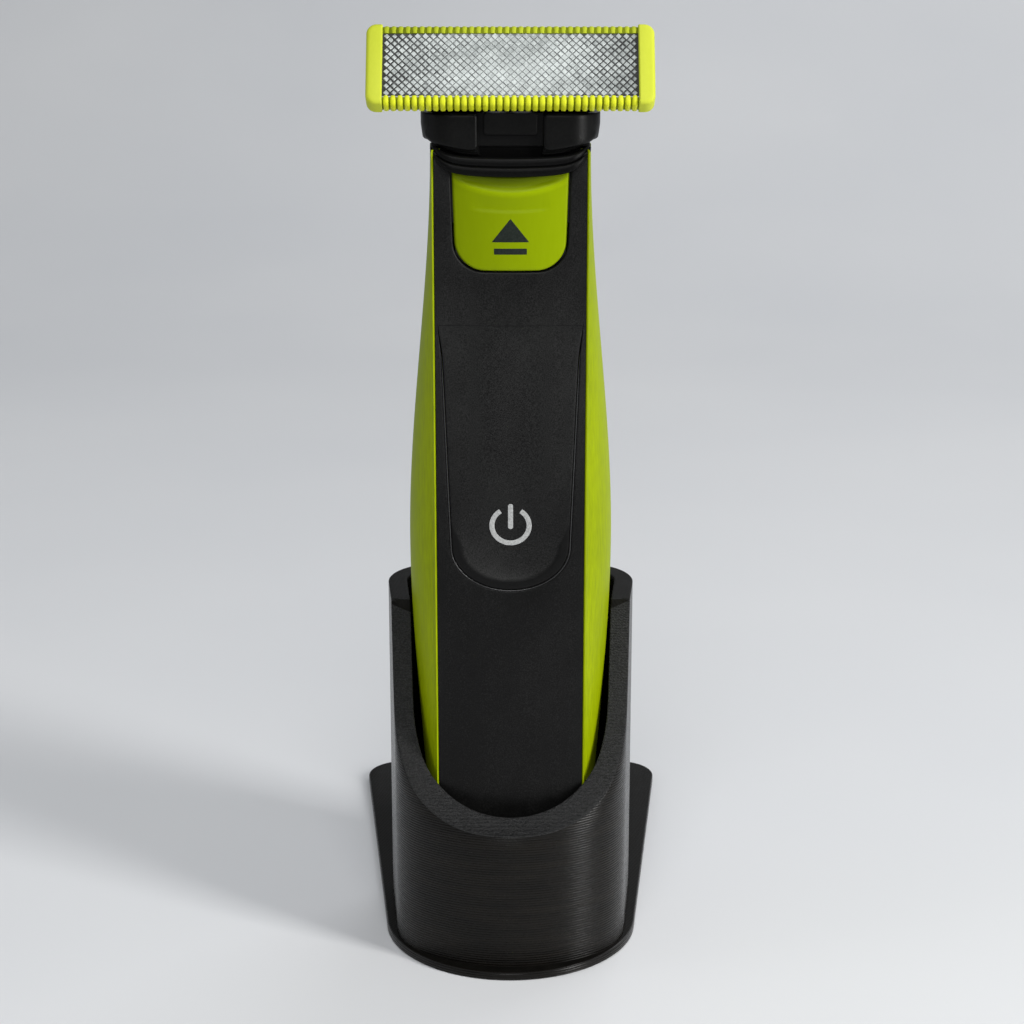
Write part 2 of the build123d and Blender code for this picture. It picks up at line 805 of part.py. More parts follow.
# Neck collar: stepped rings with a lower edge that sags at the front
collar_bottom = collar_top - collar_height
ring_height = collar_height / len(collar_steps)
with BuildPart() as neck_collar:
    for index, step in enumerate(collar_steps):
        with BuildSketch(Plane.XY.offset(collar_bottom + index * ring_height)):
            with BuildLine():
                front = handle_front - collar_front_proud - step
                width = neck_half_width + collar_side_proud + step
                back = handle_front + neck_depth + collar_back_proud + step
                widest = handle_front + widest_share * neck_depth
                band = band_half_width
                ThreePointArc((-band, front + collar_crown), (0, front), (band, front + collar_crown))
                TangentArc((width, widest), (band, front + collar_crown), tangent=(0, -1))
                EllipticalCenterArc((0, widest), width, back - widest, 0, arc_size=90)
                EllipticalCenterArc((0, widest), width, back - widest, 90, arc_size=90)
                TangentArc((-width, widest), (-band, front + collar_crown), tangent=(0, -1))
            make_face()
        extrude(amount=ring_height)
    with BuildSketch(front_plane):
        with BuildLine():
            reach = neck_half_width + collar_side_proud
            smile = ThreePointArc(
                (-reach, collar_bottom + collar_smile),
                (0, collar_bottom),
                (reach, collar_bottom + collar_smile),
            )
            Polyline(
                smile @ 1,
                (2 * reach, collar_bottom + collar_smile),
                (2 * reach, collar_bottom - collar_height),
                (-2 * reach, collar_bottom - collar_height),
                (-2 * reach, collar_bottom + collar_smile),
                smile @ 0,
            )
        make_face()
    extrude(amount=plate_length, both=True, mode=Mode.SUBTRACT)
    add(handle_outside.part, mode=Mode.SUBTRACT)
    pocket_front = slider_proud + slider_ridge_rise + button_gap
    extrude(
        slider_outline(button_gap, slider_travel + button_gap, pocket_front),
        amount=-(slider_ridge_rise + slider_thickness + 2 * button_gap),
        mode=Mode.SUBTRACT,
    )
    with BuildSketch(Plane.XY.offset(handle_top)):
        with Locations((0, motor_y)):
            Circle(seal_radius)
        with Locations((0, bar_front + latch_bar_thickness / 2)):
            Rectangle(2 * (latch_bar_half_width + button_gap), latch_bar_thickness + 2 * button_gap)
    extrude(amount=handle_height, mode=Mode.SUBTRACT)
finish(neck_collar, "neck_collar")

# Neck seal: a thin rubber plate round the lever's stem
with BuildPart() as neck_seal:
    with BuildSketch(Plane.XY.offset(handle_top)):
        with Locations((0, motor_y)):
            Circle(seal_radius)
            Circle(lever_stem_radius + 2 * crank_radius, mode=Mode.SUBTRACT)
    extrude(amount=collar_above_handle)
finish(neck_seal, "neck_seal")

# Blade carrier: clips over the neck and holds the head between two arms
carrier_front = handle_front + carrier_front_setback
carrier_top = collar_top + carrier_height
carrier_middle = carrier_front + carrier_depth / 2
window_front = carrier_front + carrier_window_front
window_back = motor_y + carrier_window_front
arm_outer = arm_inner + arm_thickness
ear_inner = arm_outer + ear_gap
ear_outer = ear_inner + ear_thickness
riser_depth = tray_front + tray_thickness + tray_upper * sin(radians(tilt_limit)) + moving_gap
riser_top_y = face_y + riser_reach * face_up[1] - riser_depth * face_out[1]
riser_top_z = face_z + riser_reach * face_up[2] - riser_depth * face_out[2]
riser_foot_y = riser_top_y - (riser_top_z - carrier_top) * face_up[1] / face_up[2]
riser_back_y = carrier_front + carrier_depth - riser_back_setback
with BuildPart() as blade_carrier:
    for height, half_width in ((0, carrier_bottom_half_width), (carrier_height, carrier_top_half_width)):
        with BuildSketch(Plane.XY.offset(collar_top + height)):
            with Locations((0, carrier_middle)):
                RectangleRounded(2 * half_width, carrier_depth, carrier_corner)
    loft()
    with BuildSketch(Plane.YZ):
        with BuildLine():
            Polyline(
                (riser_back_y, carrier_top),
                (riser_foot_y, carrier_top),
                (riser_top_y, riser_top_z),
            )
            ThreePointArc(
                (riser_top_y, riser_top_z),
                ((riser_top_y + 2 * riser_back_y) / 3, (riser_top_z + carrier_top) / 2),
                (riser_back_y, carrier_top),
            )
        make_face()
    extrude(amount=riser_half_width, both=True)
    with BuildSketch(Plane.XY.offset(collar_top)):
        with Locations((0, carrier_front)):
            Rectangle(2 * carrier_recess_half_width, 2 * carrier_recess)
        with Locations((0, (window_front + window_back) / 2)):
            Rectangle(2 * carrier_window_half_width, window_back - window_front)
    extrude(amount=riser_top_z - collar_top, mode=Mode.SUBTRACT)
    for side in (-1, 1):
        with BuildSketch(Plane.YZ.offset(side * (arm_inner + arm_thickness / 2))):
            with Locations((tilt_y, (carrier_top + tilt_z) / 2)):
                Rectangle(2 * arm_half_depth, tilt_z - carrier_top)
            with Locations((tilt_y, tilt_z)):
                Circle(arm_half_depth)
        extrude(amount=arm_thickness / 2, both=True)
    with BuildSketch(Plane.YZ):
        with Locations((tilt_y, tilt_z)):
            Circle(tilt_pin_radius)
    extrude(amount=ear_outer, both=True, mode=Mode.SUBTRACT)
finish(blade_carrier, "blade_carrier")
with BuildPart() as latch_tab:
    with BuildSketch(Plane.XZ.offset(-carrier_front - carrier_recess)):
        with Locations((0, carrier_top - latch_tab_height / 2)):
            RectangleRounded(2 * latch_tab_half_width, latch_tab_height, latch_tab_thickness)
    extrude(amount=latch_tab_thickness)
finish(latch_tab, "latch_tab")
with BuildPart() as tilt_pins:
    for side in (-1, 1):
        with BuildSketch(Plane.YZ.offset(side * (arm_inner + ear_outer) / 2)):
            with Locations((tilt_y, tilt_z)):
                Circle(tilt_pin_radius)
        extrude(amount=(ear_outer - arm_inner) / 2, both=True)
finish(tilt_pins, "tilt_pins")

# Guard frame: end caps, two rails behind the cutter and the comb ribs round its edges
with BuildPart() as comb_rib:
    with BuildSketch(along_x(0)):
        for side in (-1, 1):
            with BuildLine():
                Polyline(
                    (side * foil_half_height, -comb_depth),
                    (side * foil_half_height, comb_proud),
                    (side * (face_half_height - comb_nose), comb_proud),
                )
                RadiusArc(
                    (side * (face_half_height - comb_nose), comb_proud),
                    (side * face_half_height, comb_proud - comb_nose),
                    side * comb_nose,
                )
                Polyline(
                    (side * face_half_height, comb_proud - comb_nose),
                    (side * face_half_height, -comb_depth),
                    (side * foil_half_height, -comb_depth),
                )
            make_face()
    extrude(amount=rib_width / 2, both=True)
with BuildPart() as guard_frame:
    for side in (-1, 1):
        with BuildSketch(face_plane.offset(-end_cap_back)) as cap_outline:
            with Locations((side * (blade_half_length - end_cap_width / 2), 0)):
                Rectangle(end_cap_width, 2 * face_half_height)
            fillet(cap_outline.vertices().group_by(Axis.X)[0 if side < 0 else -1], end_cap_corner)
        extrude(amount=end_cap_back + end_cap_front)
    with BuildSketch(along_x(0)):
        for side in (-1, 1):
            with Locations((side * (rail_inner + face_half_height) / 2, -comb_depth + rail_thickness / 2)):
                Rectangle(face_half_height - rail_inner, rail_thickness)
    extrude(amount=foil_half_length, both=True)
    with GridLocations(rib_pitch, 0, rib_count, 1):
        add(comb_rib.part)
    with BuildSketch(along_x(0)):
        slot_back = -comb_depth + rail_thickness
        slot_front = -foil_thickness
        with Locations((0, (slot_back + slot_front) / 2)):
            Rectangle(2 * cutter_slot_reach, slot_front - slot_back)
    extrude(amount=foil_half_length, both=True, mode=Mode.SUBTRACT)
finish(guard_frame, "guard_frame")

# Foil plate over the cutter
with BuildPart() as foil_plate:
    with BuildSketch(face_plane):
        Rectangle(2 * foil_half_length, 2 * foil_half_height)
    extrude(amount=-foil_thickness)
finish(foil_plate, "foil_plate")

# Head base: a tray behind the head with bored ears, open for the arms and the lever
with BuildPart() as head_base:
    with BuildSketch(face_plane.offset(-tray_front)):
        with Locations((0, (tray_upper - tray_lower) / 2)):
            Rectangle(2 * foil_half_length, tray_upper + tray_lower)
    extrude(amount=-tray_thickness)
    with BuildSketch(face_plane.offset(-tray_front)):
        for side in (-1, 1):
            with Locations((side * (foil_half_length - tray_wall / 2), (tray_upper - tray_lower) / 2)):
                Rectangle(tray_wall, tray_upper + tray_lower)
    extrude(amount=tray_front - cutter_gap - cutter_thickness - foil_thickness - cutter_gap)
    with BuildSketch(face_plane.offset(-tray_front - tray_thickness)):
        window_low = -tray_lower
        window_high = arm_half_depth + moving_gap * 2
        middle = (window_low + window_high) / 2
        with Locations((0, middle)):
            Rectangle(2 * (carrier_window_half_width + moving_gap), window_high - window_low)
        for side in (-1, 1):
            with Locations((side * (arm_inner + arm_outer) / 2, middle)):
                Rectangle(arm_thickness + 2 * moving_gap, window_high - window_low)
    extrude(amount=tray_thickness, mode=Mode.SUBTRACT)
    for side in (-1, 1):
        with BuildSketch(along_x(side * (ear_inner + ear_outer) / 2)):
            with Locations((0, -drive_depth)):
                Circle(ear_radius)
                Circle(tilt_pin_radius + running_fit, mode=Mode.SUBTRACT)
        extrude(amount=ear_thickness / 2, both=True)
        with BuildSketch(along_x(side * (ear_inner + ear_outer) / 2)):
            with Locations((0, -drive_depth)):
                Circle(tilt_pin_radius + running_fit)
        extrude(amount=ear_thickness, both=True, mode=Mode.SUBTRACT)
finish(head_base, "head_base")
with BuildPart() as leaf_springs:
    with BuildSketch(face_plane.offset(-tray_front)):
        leaf_x = (carrier_window_half_width + moving_gap + block_half_length) / 2
        with Locations((-leaf_x, 0), (leaf_x, 0)):
            Rectangle(leaf_length, leaf_width)
    extrude(amount=leaf_thickness)
finish(leaf_springs, "leaf_springs")

# Cutter: a toothed blade on a block whose slot takes the lever's ball
cutter_travel = crank_radius * (tilt_z - pivot_z) / (pivot_z - crank_z)
cutter_half_length = foil_half_length - cutter_travel - cutter_end_gap
cutter_front = -foil_thickness - cutter_gap
cutter_back = cutter_front - cutter_thickness
tooth_count = int(2 * cutter_half_length / rib_pitch)
tooth_tip = cutter_slot_reach - cutter_tooth_gap
with BuildPart() as cutter_blade:
    with BuildSketch(face_plane.offset(cutter_back)):
        Rectangle(2 * cutter_half_length, 2 * cutter_half_height)
        with GridLocations(rib_pitch, 0, tooth_count, 1):
            Rectangle(cutter_tooth_width, 2 * tooth_tip)
    extrude(amount=cutter_thickness)
finish(cutter_blade, "cutter_blade")
with BuildPart() as cutter_block:
    with BuildSketch(face_plane.offset(cutter_back)):
        Rectangle(2 * block_half_length, 2 * block_half_height)
    extrude(amount=-(block_back + cutter_back))
    slot_front_y = tilt_y - lever_ball_radius - moving_gap
    slot_length = 4 * block_half_height
    with BuildSketch(Plane.XY.offset(tilt_z + lever_ball_radius + moving_gap)):
        with Locations((0, slot_front_y + slot_length / 2)):
            Rectangle(2 * (lever_ball_radius + running_fit), slot_length)
    extrude(amount=-slot_length, mode=Mode.SUBTRACT)
finish(cutter_block, "cutter_block")

print("lever angle", degrees(asin(crank_radius / (pivot_z - crank_z))))
print("cutter travel", cutter_travel, "ratio", (tilt_z - pivot_z) / 1000)
print("lever pivot", motor_y, pivot_z, "tilt axis", tilt_y, tilt_z)
print("button hinge", handle_front, button_hinge_z)
print("button angle", degrees(button_travel / button_height))
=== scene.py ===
"""Looks of a cordless trimmer that stands in a printed desk cup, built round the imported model.

The shapes are worked out in millimetres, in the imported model's own frame: +Z is up
and the trimmer's front faces -Y. They are turned into metres when a mesh is made.
"""

import json
import math
import random

import bmesh
import bpy
from mathutils import Matrix, Vector, noise

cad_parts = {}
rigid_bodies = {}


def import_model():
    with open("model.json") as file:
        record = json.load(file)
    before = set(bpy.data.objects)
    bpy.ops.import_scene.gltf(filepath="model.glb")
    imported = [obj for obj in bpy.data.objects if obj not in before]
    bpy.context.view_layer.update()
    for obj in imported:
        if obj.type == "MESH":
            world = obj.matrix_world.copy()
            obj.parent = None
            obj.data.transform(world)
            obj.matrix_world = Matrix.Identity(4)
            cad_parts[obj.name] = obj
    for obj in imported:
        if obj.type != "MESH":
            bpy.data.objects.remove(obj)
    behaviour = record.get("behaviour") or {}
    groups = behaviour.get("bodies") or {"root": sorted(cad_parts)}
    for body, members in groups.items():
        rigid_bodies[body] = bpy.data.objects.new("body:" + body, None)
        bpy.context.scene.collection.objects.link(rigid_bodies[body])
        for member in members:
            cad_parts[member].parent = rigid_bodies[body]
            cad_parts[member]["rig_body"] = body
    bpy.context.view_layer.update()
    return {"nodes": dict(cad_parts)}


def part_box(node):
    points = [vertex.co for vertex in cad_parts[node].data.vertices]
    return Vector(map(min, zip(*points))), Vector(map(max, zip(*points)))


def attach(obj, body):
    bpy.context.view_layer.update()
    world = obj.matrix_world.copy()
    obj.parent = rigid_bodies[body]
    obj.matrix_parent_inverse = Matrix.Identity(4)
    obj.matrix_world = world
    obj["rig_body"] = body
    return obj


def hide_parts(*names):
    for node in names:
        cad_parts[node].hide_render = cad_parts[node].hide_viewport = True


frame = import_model()

MM = 0.001
QUARTER = math.pi / 2


def corners(node):
    """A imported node's lowest and highest corners, in millimetres."""
    return [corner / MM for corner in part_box(node)]


stand_low, stand_high = corners("stand_body")
shell_low, shell_high = corners("back_shell")
cover_low, cover_high = corners("front_cover")
button_low, button_high = corners("power_button")
collar_low, collar_high = corners("neck_collar")
carrier_low, carrier_high = corners("blade_carrier")

# Stand
plate_front = stand_low.y
plate_rear = stand_high.y
plate_thickness = 1.5
plate_front_radius = 20.7
plate_rear_half_width = 28.0
plate_rear_corner = 6.5
plate_rear_bow = 1.2
plate_edge = 0.22
cup_front = plate_front + 2.0
cup_depth = 37.7
cup_front_half_width = 18.8
cup_front_depth = 14.3
cup_rear_half_width = 21.0
cup_corner_radius = 12.0
cup_rear_corner = 9.0
cup_wall = 3.1
cup_floor = 2.5
cup_height = stand_high.z
lip_height = 24.1
scoop_length = 18.0
scoop_lip_reach = 4.0
scoop_lip_rise = 1.2
scoop_back_reach = 4.0
scoop_back_drop = 19.4
rim_rounding = 0.28
# The places on a wall's line, from its foot outside to its foot inside, where its rim starts and ends
rim_start = 9
rim_end = 22
rim_raggedness = 0.07
layer_pitch = 0.42

# Handle
handle_bottom = cup_floor
handle_front = -35.2
handle_height = 128.5
band_half_width = 11.4
front_crown = 0.5
widest_share = 0.45
foot_size = (12.6, 22.6)
belly_height = 65.5
belly_size = (16.05, 27.5)
neck_size = (12.1, 17.5)
neck_half_width, neck_depth = neck_size
belly_middle = handle_front + widest_share * belly_size[1]
casing_wall = 1.8
edge_radius = 0.28
grip_low = 46.0
grip_high = 90.0
grip_count = 9
grip_pitch = 5.0
grip_depth = 0.5
grip_height = 1.6
grip_half_width = 8.0

# Power button
button_top = button_high.z
button_bottom = button_low.z
button_half_width = 9.1
button_end = 6.85
button_foot = button_bottom + button_end
button_widening = 0.0405
button_flare = 0.42
button_flare_length = 6.7
button_thickness = 1.45
button_gap = 0.25
bead_radius = 0.10
dish_lip = 1.35
dish_fade = 10.5
dish_depth = 1.0
dish_flatness = 2.6
dish_fullness = 0.85
mark_centre = 73.1
mark_radius = 3.27
mark_stroke = 0.78
mark_opening = math.radians(33.0)

# Marks laid on the button and the slider
mark_proud = 0.03
mark_thickness = 0.12
mark_edge = 0.02

# Release slider
slider_bottom = corners("release_slider")[0].z
slider_top = slider_bottom + 14.0
slider_front = handle_front - 0.35
slider_thickness = 0.8
slider_edge = 0.36
slider_top_half_width = 8.75
slider_bottom_half_width = 8.25
slider_corner = 4.6
slider_sag = 0.7
smile = 1.6
smile_steps = 16
# Each crest's height, bend, half width, depth, rise and tail
slider_crests = ((124.75, 4.0, 8.3, 0.58, 1.05, 1.7), (121.65, 1.6, 5.9, 0.20, 0.65, 2.3))
arrow_half_width = 2.8
arrow_low = 117.45
arrow_high = 120.95
bar_half_width = 2.45
bar_low = 115.6
bar_high = 116.5
latch_half_width = 2.6
latch_low = handle_bottom + 113.56
latch_high = handle_bottom + 127.7
latch_front = -31.95
latch_thickness = 1.2
stem_half_width = 1.7
stem_depth = 3.25
stem_height = 4.0

# Neck. A fall is how far a front drops back to its corners
collar_half_width = 11.95
collar_corner = 3.6
collar_fall = 0.3
bore_radius = 4.3
lever_y = handle_front + 10.5
deck_height = collar_high.z - 0.1
deck_front = handle_front + 1.79
deck_thickness = 0.45
deck_inset = 0.6
deck_corner = 2.4
deck_fall = 0.15
latch_gap = 0.2
apron_half_width = 10.4
apron_depth = 3.4
collar_foot_height = 0.2
collar_foot_rise = 3.5
collar_rim_height = 3.05
collar_rim_rise = 2.1
carrier_top = collar_high.z + 4.9
carrier_corner = 3.8
carrier_fall = 0.25
skirt_tuck = 0.85
skirt_tuck_low = collar_low.z + 3.9
skirt_tuck_height = 3.6
skirt_notch = 4.9
skirt_notch_depth = 1.6
block_half_width = 11.6
cheek_inner = 4.85
cheek_outer = carrier_high.x - 0.3
cheek_bend = 8.2
cheek_fall = 3.1
cheek_depth = 2.2
cheek_edge = 0.45

# Head: a face that leans back
face_lean = math.radians(32.0)
face_y = handle_front + 0.4
face_z = handle_bottom + 141.0
face_half_height = 6.4
foil_half_height = 5.25
head_half_length = corners("guard_frame")[1].x
end_cap_width = 2.4
end_cap_corner = 1.5
comb_nose = 0.9
comb_front = 0.15
comb_depth = 0.55
rib_count = 36
rib_pitch = 1.035
rib_width = 0.82
comb_back = -2.5
comb_inner = 4.95
foil_reach = head_half_length - end_cap_width
foil_pitch = 1.13
foil_gap_width = 0.11
foil_strip = 0.26
pad_tilt = 0.09
pad_lean = 0.16
pad_drop = 0.03
pad_margin = 0.04

# Camera, in metres and degrees, its lens in millimetres
camera_side = 0.00023
camera_distance = 0.335
camera_height = 0.178
camera_drop = 16.6
camera_lens = 81.91

random.seed(7)


def as_metres(points):
    """Millimetre points as vectors in metres."""
    return [Vector(point) * MM for point in points]


def placed(name, data):
    """A new object in the scene."""
    thing = bpy.data.objects.new(name, data)
    bpy.context.scene.collection.objects.link(thing)
    return thing


def dress(piece, material, body, stands_for=()):
    """Give a new piece its material, its body and the nodes that it stands for."""
    piece.data.materials.append(material)
    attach(piece, body)
    if stands_for:
        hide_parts(*stands_for)


def finished(name, bm, mesh, degrees):
    """An object from worked mesh data, smooth but for edges sharper than an angle."""
    bmesh.ops.recalc_face_normals(bm, faces=bm.faces)
    bm.to_mesh(mesh)
    bm.free()
    mesh.shade_smooth()
    mesh.set_sharp_from_angle(angle=math.radians(degrees))
    return placed(name, mesh)


def new_piece(name, points, faces, degrees):
    """A mesh object from millimetre points and faces."""
    mesh = bpy.data.meshes.new(name)
    mesh.from_pydata(as_metres(points), [], faces)
    mesh.validate()
    bm = bmesh.new()
    bm.from_mesh(mesh)
    bmesh.ops.remove_doubles(bm, verts=bm.verts, dist=1e-7)
    return finished(name, bm, mesh, degrees)


def joined(low, high, count):
    """Faces between two closed rings, given the number of each ring's first point."""
    pairs = [(index, (index + 1) % count) for index in range(count)]
    return [(low + here, low + after, high + after, high + here) for here, after in pairs]


def lofted(name, rings, closed_ends=True, degrees=32.0):
    """A skin through closed rings that hold the same number of points."""
    count = len(rings[0])
    points = [point for ring in rings for point in ring]
    faces = []
    for level in range(len(rings) - 1):
        faces += joined(level * count, (level + 1) * count, count)
    if closed_ends:
        faces.append(tuple(reversed(range(count))))
        faces.append(tuple(range(len(points) - count, len(points))))
    return new_piece(name, points, faces, degrees)


def oval(centre, reach, start, end, steps):
    """Points on part of an ellipse, with both ends, angles in radians."""
    x, y = centre
    angles = [start + (end - start) * step / steps for step in range(steps + 1)]
    return [(x + reach[0] * math.cos(angle), y + reach[1] * math.sin(angle)) for angle in angles]


def arc(centre, radius, start, end, steps):
    """Points on part of a circle."""
    return oval(centre, (radius, radius), start, end, steps)


def between(start, end, share):
    """The point at a share of the way from one point to another."""
    return tuple(low + (high - low) * share for low, high in zip(start, end))


def spread(start, end, steps):
    """Points on a straight line without its first and last point."""
    return [between(start, end, step / steps) for step in range(1, steps)]


def spaced(low, high, spacing):
    """Evenly spaced values strictly between two limits."""
    count = max(1, round((high - low) / spacing))
    return [low + (high - low) * step / count for step in range(1, count)]


def held(share):
    """A share held between 0 and 1."""
    return min(1.0, max(0.0, share))


def ease(share):
    """A blend from 0 to 1 that starts and ends level."""
    return share**2 * (3 - 2 * share)


def flipped(line):
    """A line mirrored across the middle, from its last point to its first."""
    return [(-x, y) for x, y in reversed(line)]


def mirrored(half):
    """A closed outline from its right half, which runs from the front's middle to the back's middle."""
    return half + flipped(half)[1:-1]


def grown(outline, distance, share=None):
    """A closed outline moved to its right-hand side, out of a shape that turns anticlockwise.

    share(x, y) can lessen the move at a place.
    """
    moved = []
    for index, here in enumerate(outline):
        before = Vector(outline[index - 1])
        after = Vector(outline[(index + 1) % len(outline)])
        point = Vector(here)
        into = (point - before).normalized()
        out = (after - point).normalized()
        side = Vector((into.y + out.y, -into.x - out.x))
        scale = 2.0 / max(side.length_squared, 0.5)
        if share:
            scale *= share(*here)
        moved.append(tuple(point + side * distance * scale))
    return moved


def rounded_corners(corner_list, steps=10):
    """A closed outline from corners, each (x, z, radius), with an arc at each one."""
    outline = []
    for index, (x, z, radius) in enumerate(corner_list):
        if radius <= 0:
            outline.append((x, z))
            continue
        here = Vector((x, z))
        before = Vector(corner_list[index - 1][:2])
        after = Vector(corner_list[(index + 1) % len(corner_list)][:2])
        back = (before - here).normalized()
        forth = (after - here).normalized()
        half_angle = back.angle(forth) / 2
        reach = radius / math.tan(half_angle)
        centre = here + (back + forth).normalized() * (radius / math.sin(half_angle))
        start = here + back * reach - centre
        end = here + forth * reach - centre
        turn = start.angle_signed(end)
        for step in range(steps + 1):
            spun = start.copy()
            spun.rotate(Matrix.Rotation(-turn * step / steps, 2))
            outline.append(tuple(centre + spun))
    return outline


def strip_outline(half_width, low, high, low_radius, high_radius, steps):
    """A rounded rectangle's outline, centred on X."""
    lower = [(-half_width, low, low_radius), (half_width, low, low_radius)]
    upper = [(half_width, high, high_radius), (-half_width, high, high_radius)]
    return rounded_corners(lower + upper, steps)


def crown(x, z=0.0):
    """How far the front falls back at a distance from its middle."""
    return front_crown * (x / band_half_width) ** 2


def plate(
    name, outline, front, thickness, radius, grid, bulge=None, relief=None, fine=None, share=None, holes=()
):
    """A plate that faces -Y with rounded rims, from outlines in X and Z.

    The outline turns anticlockwise and the holes clockwise. bulge(x, z) moves both
    faces back, and relief(x, z) only the front face. grid is the spacing of the cuts
    that let the faces bend, and fine is a stretch of heights with a closer spacing.
    share(x, z) can lessen the rounding at a place.
    """
    bm = bmesh.new()
    angles = [step * math.pi / 8 for step in range(5)]
    levels = [(radius * (1 - math.sin(angle)), radius * (1 - math.cos(angle))) for angle in angles]
    levels.append((0.0, thickness))
    front_edges = []
    back_edges = []
    for loop in (outline, *holes):
        count = len(loop)
        verts = []
        for inset, depth in levels:
            ring = grown(loop, -inset, share) if inset else loop
            verts += [bm.verts.new((x, depth, z)) for x, z in ring]
        last = len(verts) - count
        for first in range(0, last, count):
            for face in joined(first, first + count, count):
                bm.faces.new([verts[index] for index in face])
        for index in range(count):
            after = (index + 1) % count
            front_edges.append(bm.edges.get((verts[index], verts[after])))
            back_edges.append(bm.edges.get((verts[last + index], verts[last + after])))
    for edges in (front_edges, back_edges):
        bmesh.ops.triangle_fill(bm, edges=edges, use_beauty=True, normal=(0, -1, 0))
    xs = [x for x, z in outline]
    zs = [z for x, z in outline]
    heights = spaced(min(zs), max(zs), grid[1])
    if fine:
        heights += spaced(*fine)
    cuts = [((x, 0, 0), (1, 0, 0)) for x in spaced(min(xs), max(xs), grid[0])]
    cuts += [((0, 0, z), (0, 0, 1)) for z in heights]
    for place, normal in cuts:
        geometry = bm.verts[:] + bm.edges[:] + bm.faces[:]
        bmesh.ops.bisect_plane(bm, geom=geometry, dist=1e-5, plane_co=place, plane_no=normal)
    for vert in bm.verts:
        x, depth, z = vert.co
        shift = bulge(x, z) if bulge else 0.0
        if relief and depth < thickness / 2:
            shift += relief(x, z)
        vert.co = Vector((x, front + depth + shift, z)) * MM
    return finished(name, bm, bpy.data.meshes.new(name), 40.0)


def bevelled(node, name, width, material, reshape=None):
    """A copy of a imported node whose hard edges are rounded, and whose points can be moved first."""
    source = frame["nodes"][node]
    mesh = source.data.copy()
    mesh.name = name
    mesh.materials.clear()
    bm = bmesh.new()
    bm.from_mesh(mesh)
    if reshape:
        for vert in bm.verts:
            vert.co = reshape(vert.co / MM) * MM
    bmesh.ops.remove_doubles(bm, verts=bm.verts, dist=2e-6)
    if reshape:
        bmesh.ops.dissolve_degenerate(bm, edges=bm.edges, dist=4e-6)
    bmesh.ops.dissolve_limit(bm, angle_limit=math.radians(0.6), verts=bm.verts, edges=bm.edges)
    piece = finished(name, bm, mesh, 30.0)
    rounding = piece.modifiers.new("rounding", "BEVEL")
    rounding.width = width * MM
    rounding.segments = 3
    rounding.limit_method = "ANGLE"
    rounding.angle_limit = math.radians(30.0)
    rounding.use_clamp_overlap = True
    rounding.harden_normals = True
    dress(piece, material, source["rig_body"], [node])


class Value:
    """One output of a new shader node. A sum with it adds the node for that sum."""

    def __init__(self, tree, kind, output, inputs, **settings):
        node = tree.nodes.new("ShaderNode" + kind)
        for name, value in settings.items():
            setattr(node, name, value)
        for name, value in inputs.items():
            if isinstance(value, Value):
                tree.links.new(value.socket, node.inputs[name])
            else:
                node.inputs[name].default_value = value
        self.tree = tree
        self.node = node
        self.socket = node.outputs[output]

    def maths(self, operation, other=0.0):
        """One sum with another value or a plain number."""
        return Value(self.tree, "Math", "Value", {0: self, 1: other}, operation=operation)

    def __add__(self, other):
        return self.maths("ADD", other)

    def __sub__(self, other):
        return self.maths("SUBTRACT", other)

    def __mul__(self, other):
        return self.maths("MULTIPLY", other)

    def __truediv__(self, other):
        return self.maths("DIVIDE", other)

    def __abs__(self):
        return self.maths("ABSOLUTE")

    def ridges(self, pitch):
        """Rounded ridges that repeat at a pitch."""
        return abs((self * (math.pi / pitch)).maths("SINE"))

    def between(self, low, high, start, end):
        """A value that goes from low to high while this one goes from start to end."""
        inputs = {"Value": self, "From Min": start, "From Max": end, "To Min": low, "To Max": high}
        return Value(self.tree, "MapRange", "Result", inputs)


class Shader:
    """A material's node tree with short calls for what the finishes share."""

    def __init__(self, name, **constants):
        self.material = bpy.data.materials.new(name)
        self.material.use_nodes = True
        self.tree = self.material.node_tree
        self.surface = self.tree.nodes["Principled BSDF"].inputs
        self.place = Value(self.tree, "TexCoord", "Object", {})
        for socket, value in constants.items():
            self.surface[socket.replace("_", " ")].default_value = value

    def scaled(self, scale):
        """The place in millimetres, stretched along each axis."""
        inputs = {"Vector": self.place, "Scale": [share / MM for share in scale]}
        return Value(self.tree, "Mapping", "Vector", inputs)

    def noise(self, scale, detail=4.0, roughness=0.55):
        """A cloudy pattern. Its scale is in turns per millimetre, for each axis or for all."""
        place = self.scaled(scale if isinstance(scale, tuple) else (scale, scale, scale))
        inputs = {"Vector": place, "Scale": 1.0, "Detail": detail, "Roughness": roughness}
        return Value(self.tree, "TexNoise", "Fac", inputs)

    def axis(self, index):
        """The place along one axis, in millimetres."""
        return Value(self.tree, "SeparateXYZ", index, {"Vector": self.scaled((1.0, 1.0, 1.0))})

    def colour(self, value, *stops):
        """Colour the surface along a value, each stop a level and a colour."""
        ramp = Value(self.tree, "ValToRGB", "Color", {"Fac": value})
        elements = ramp.node.color_ramp.elements
        while len(elements) < len(stops):
            elements.new(0.5)
        for element, (level, colour) in zip(elements, stops):
            element.position = level
            element.color = (*colour, 1.0)
        self.tree.links.new(ramp.socket, self.surface["Base Color"])

    def rough(self, value, low, high):
        """Roughness along a cloudy value, which is mostly between 0.3 and 0.7."""
        self.tree.links.new(value.between(low, high, 0.3, 0.7).socket, self.surface["Roughness"])

    def bump(self, value, distance, strength):
        """Add a bump of a height in millimetres, over any that is there."""
        inputs = {"Height": value, "Distance": distance * MM, "Strength": strength}
        bump = Value(self.tree, "Bump", "Normal", inputs)
        normal = self.surface["Normal"]
        if normal.is_linked:
            self.tree.links.new(normal.links[0].from_socket, bump.node.inputs["Normal"])
        self.tree.links.new(bump.socket, normal)


def grey(level):
    """An even grey."""
    return (level, level, level)


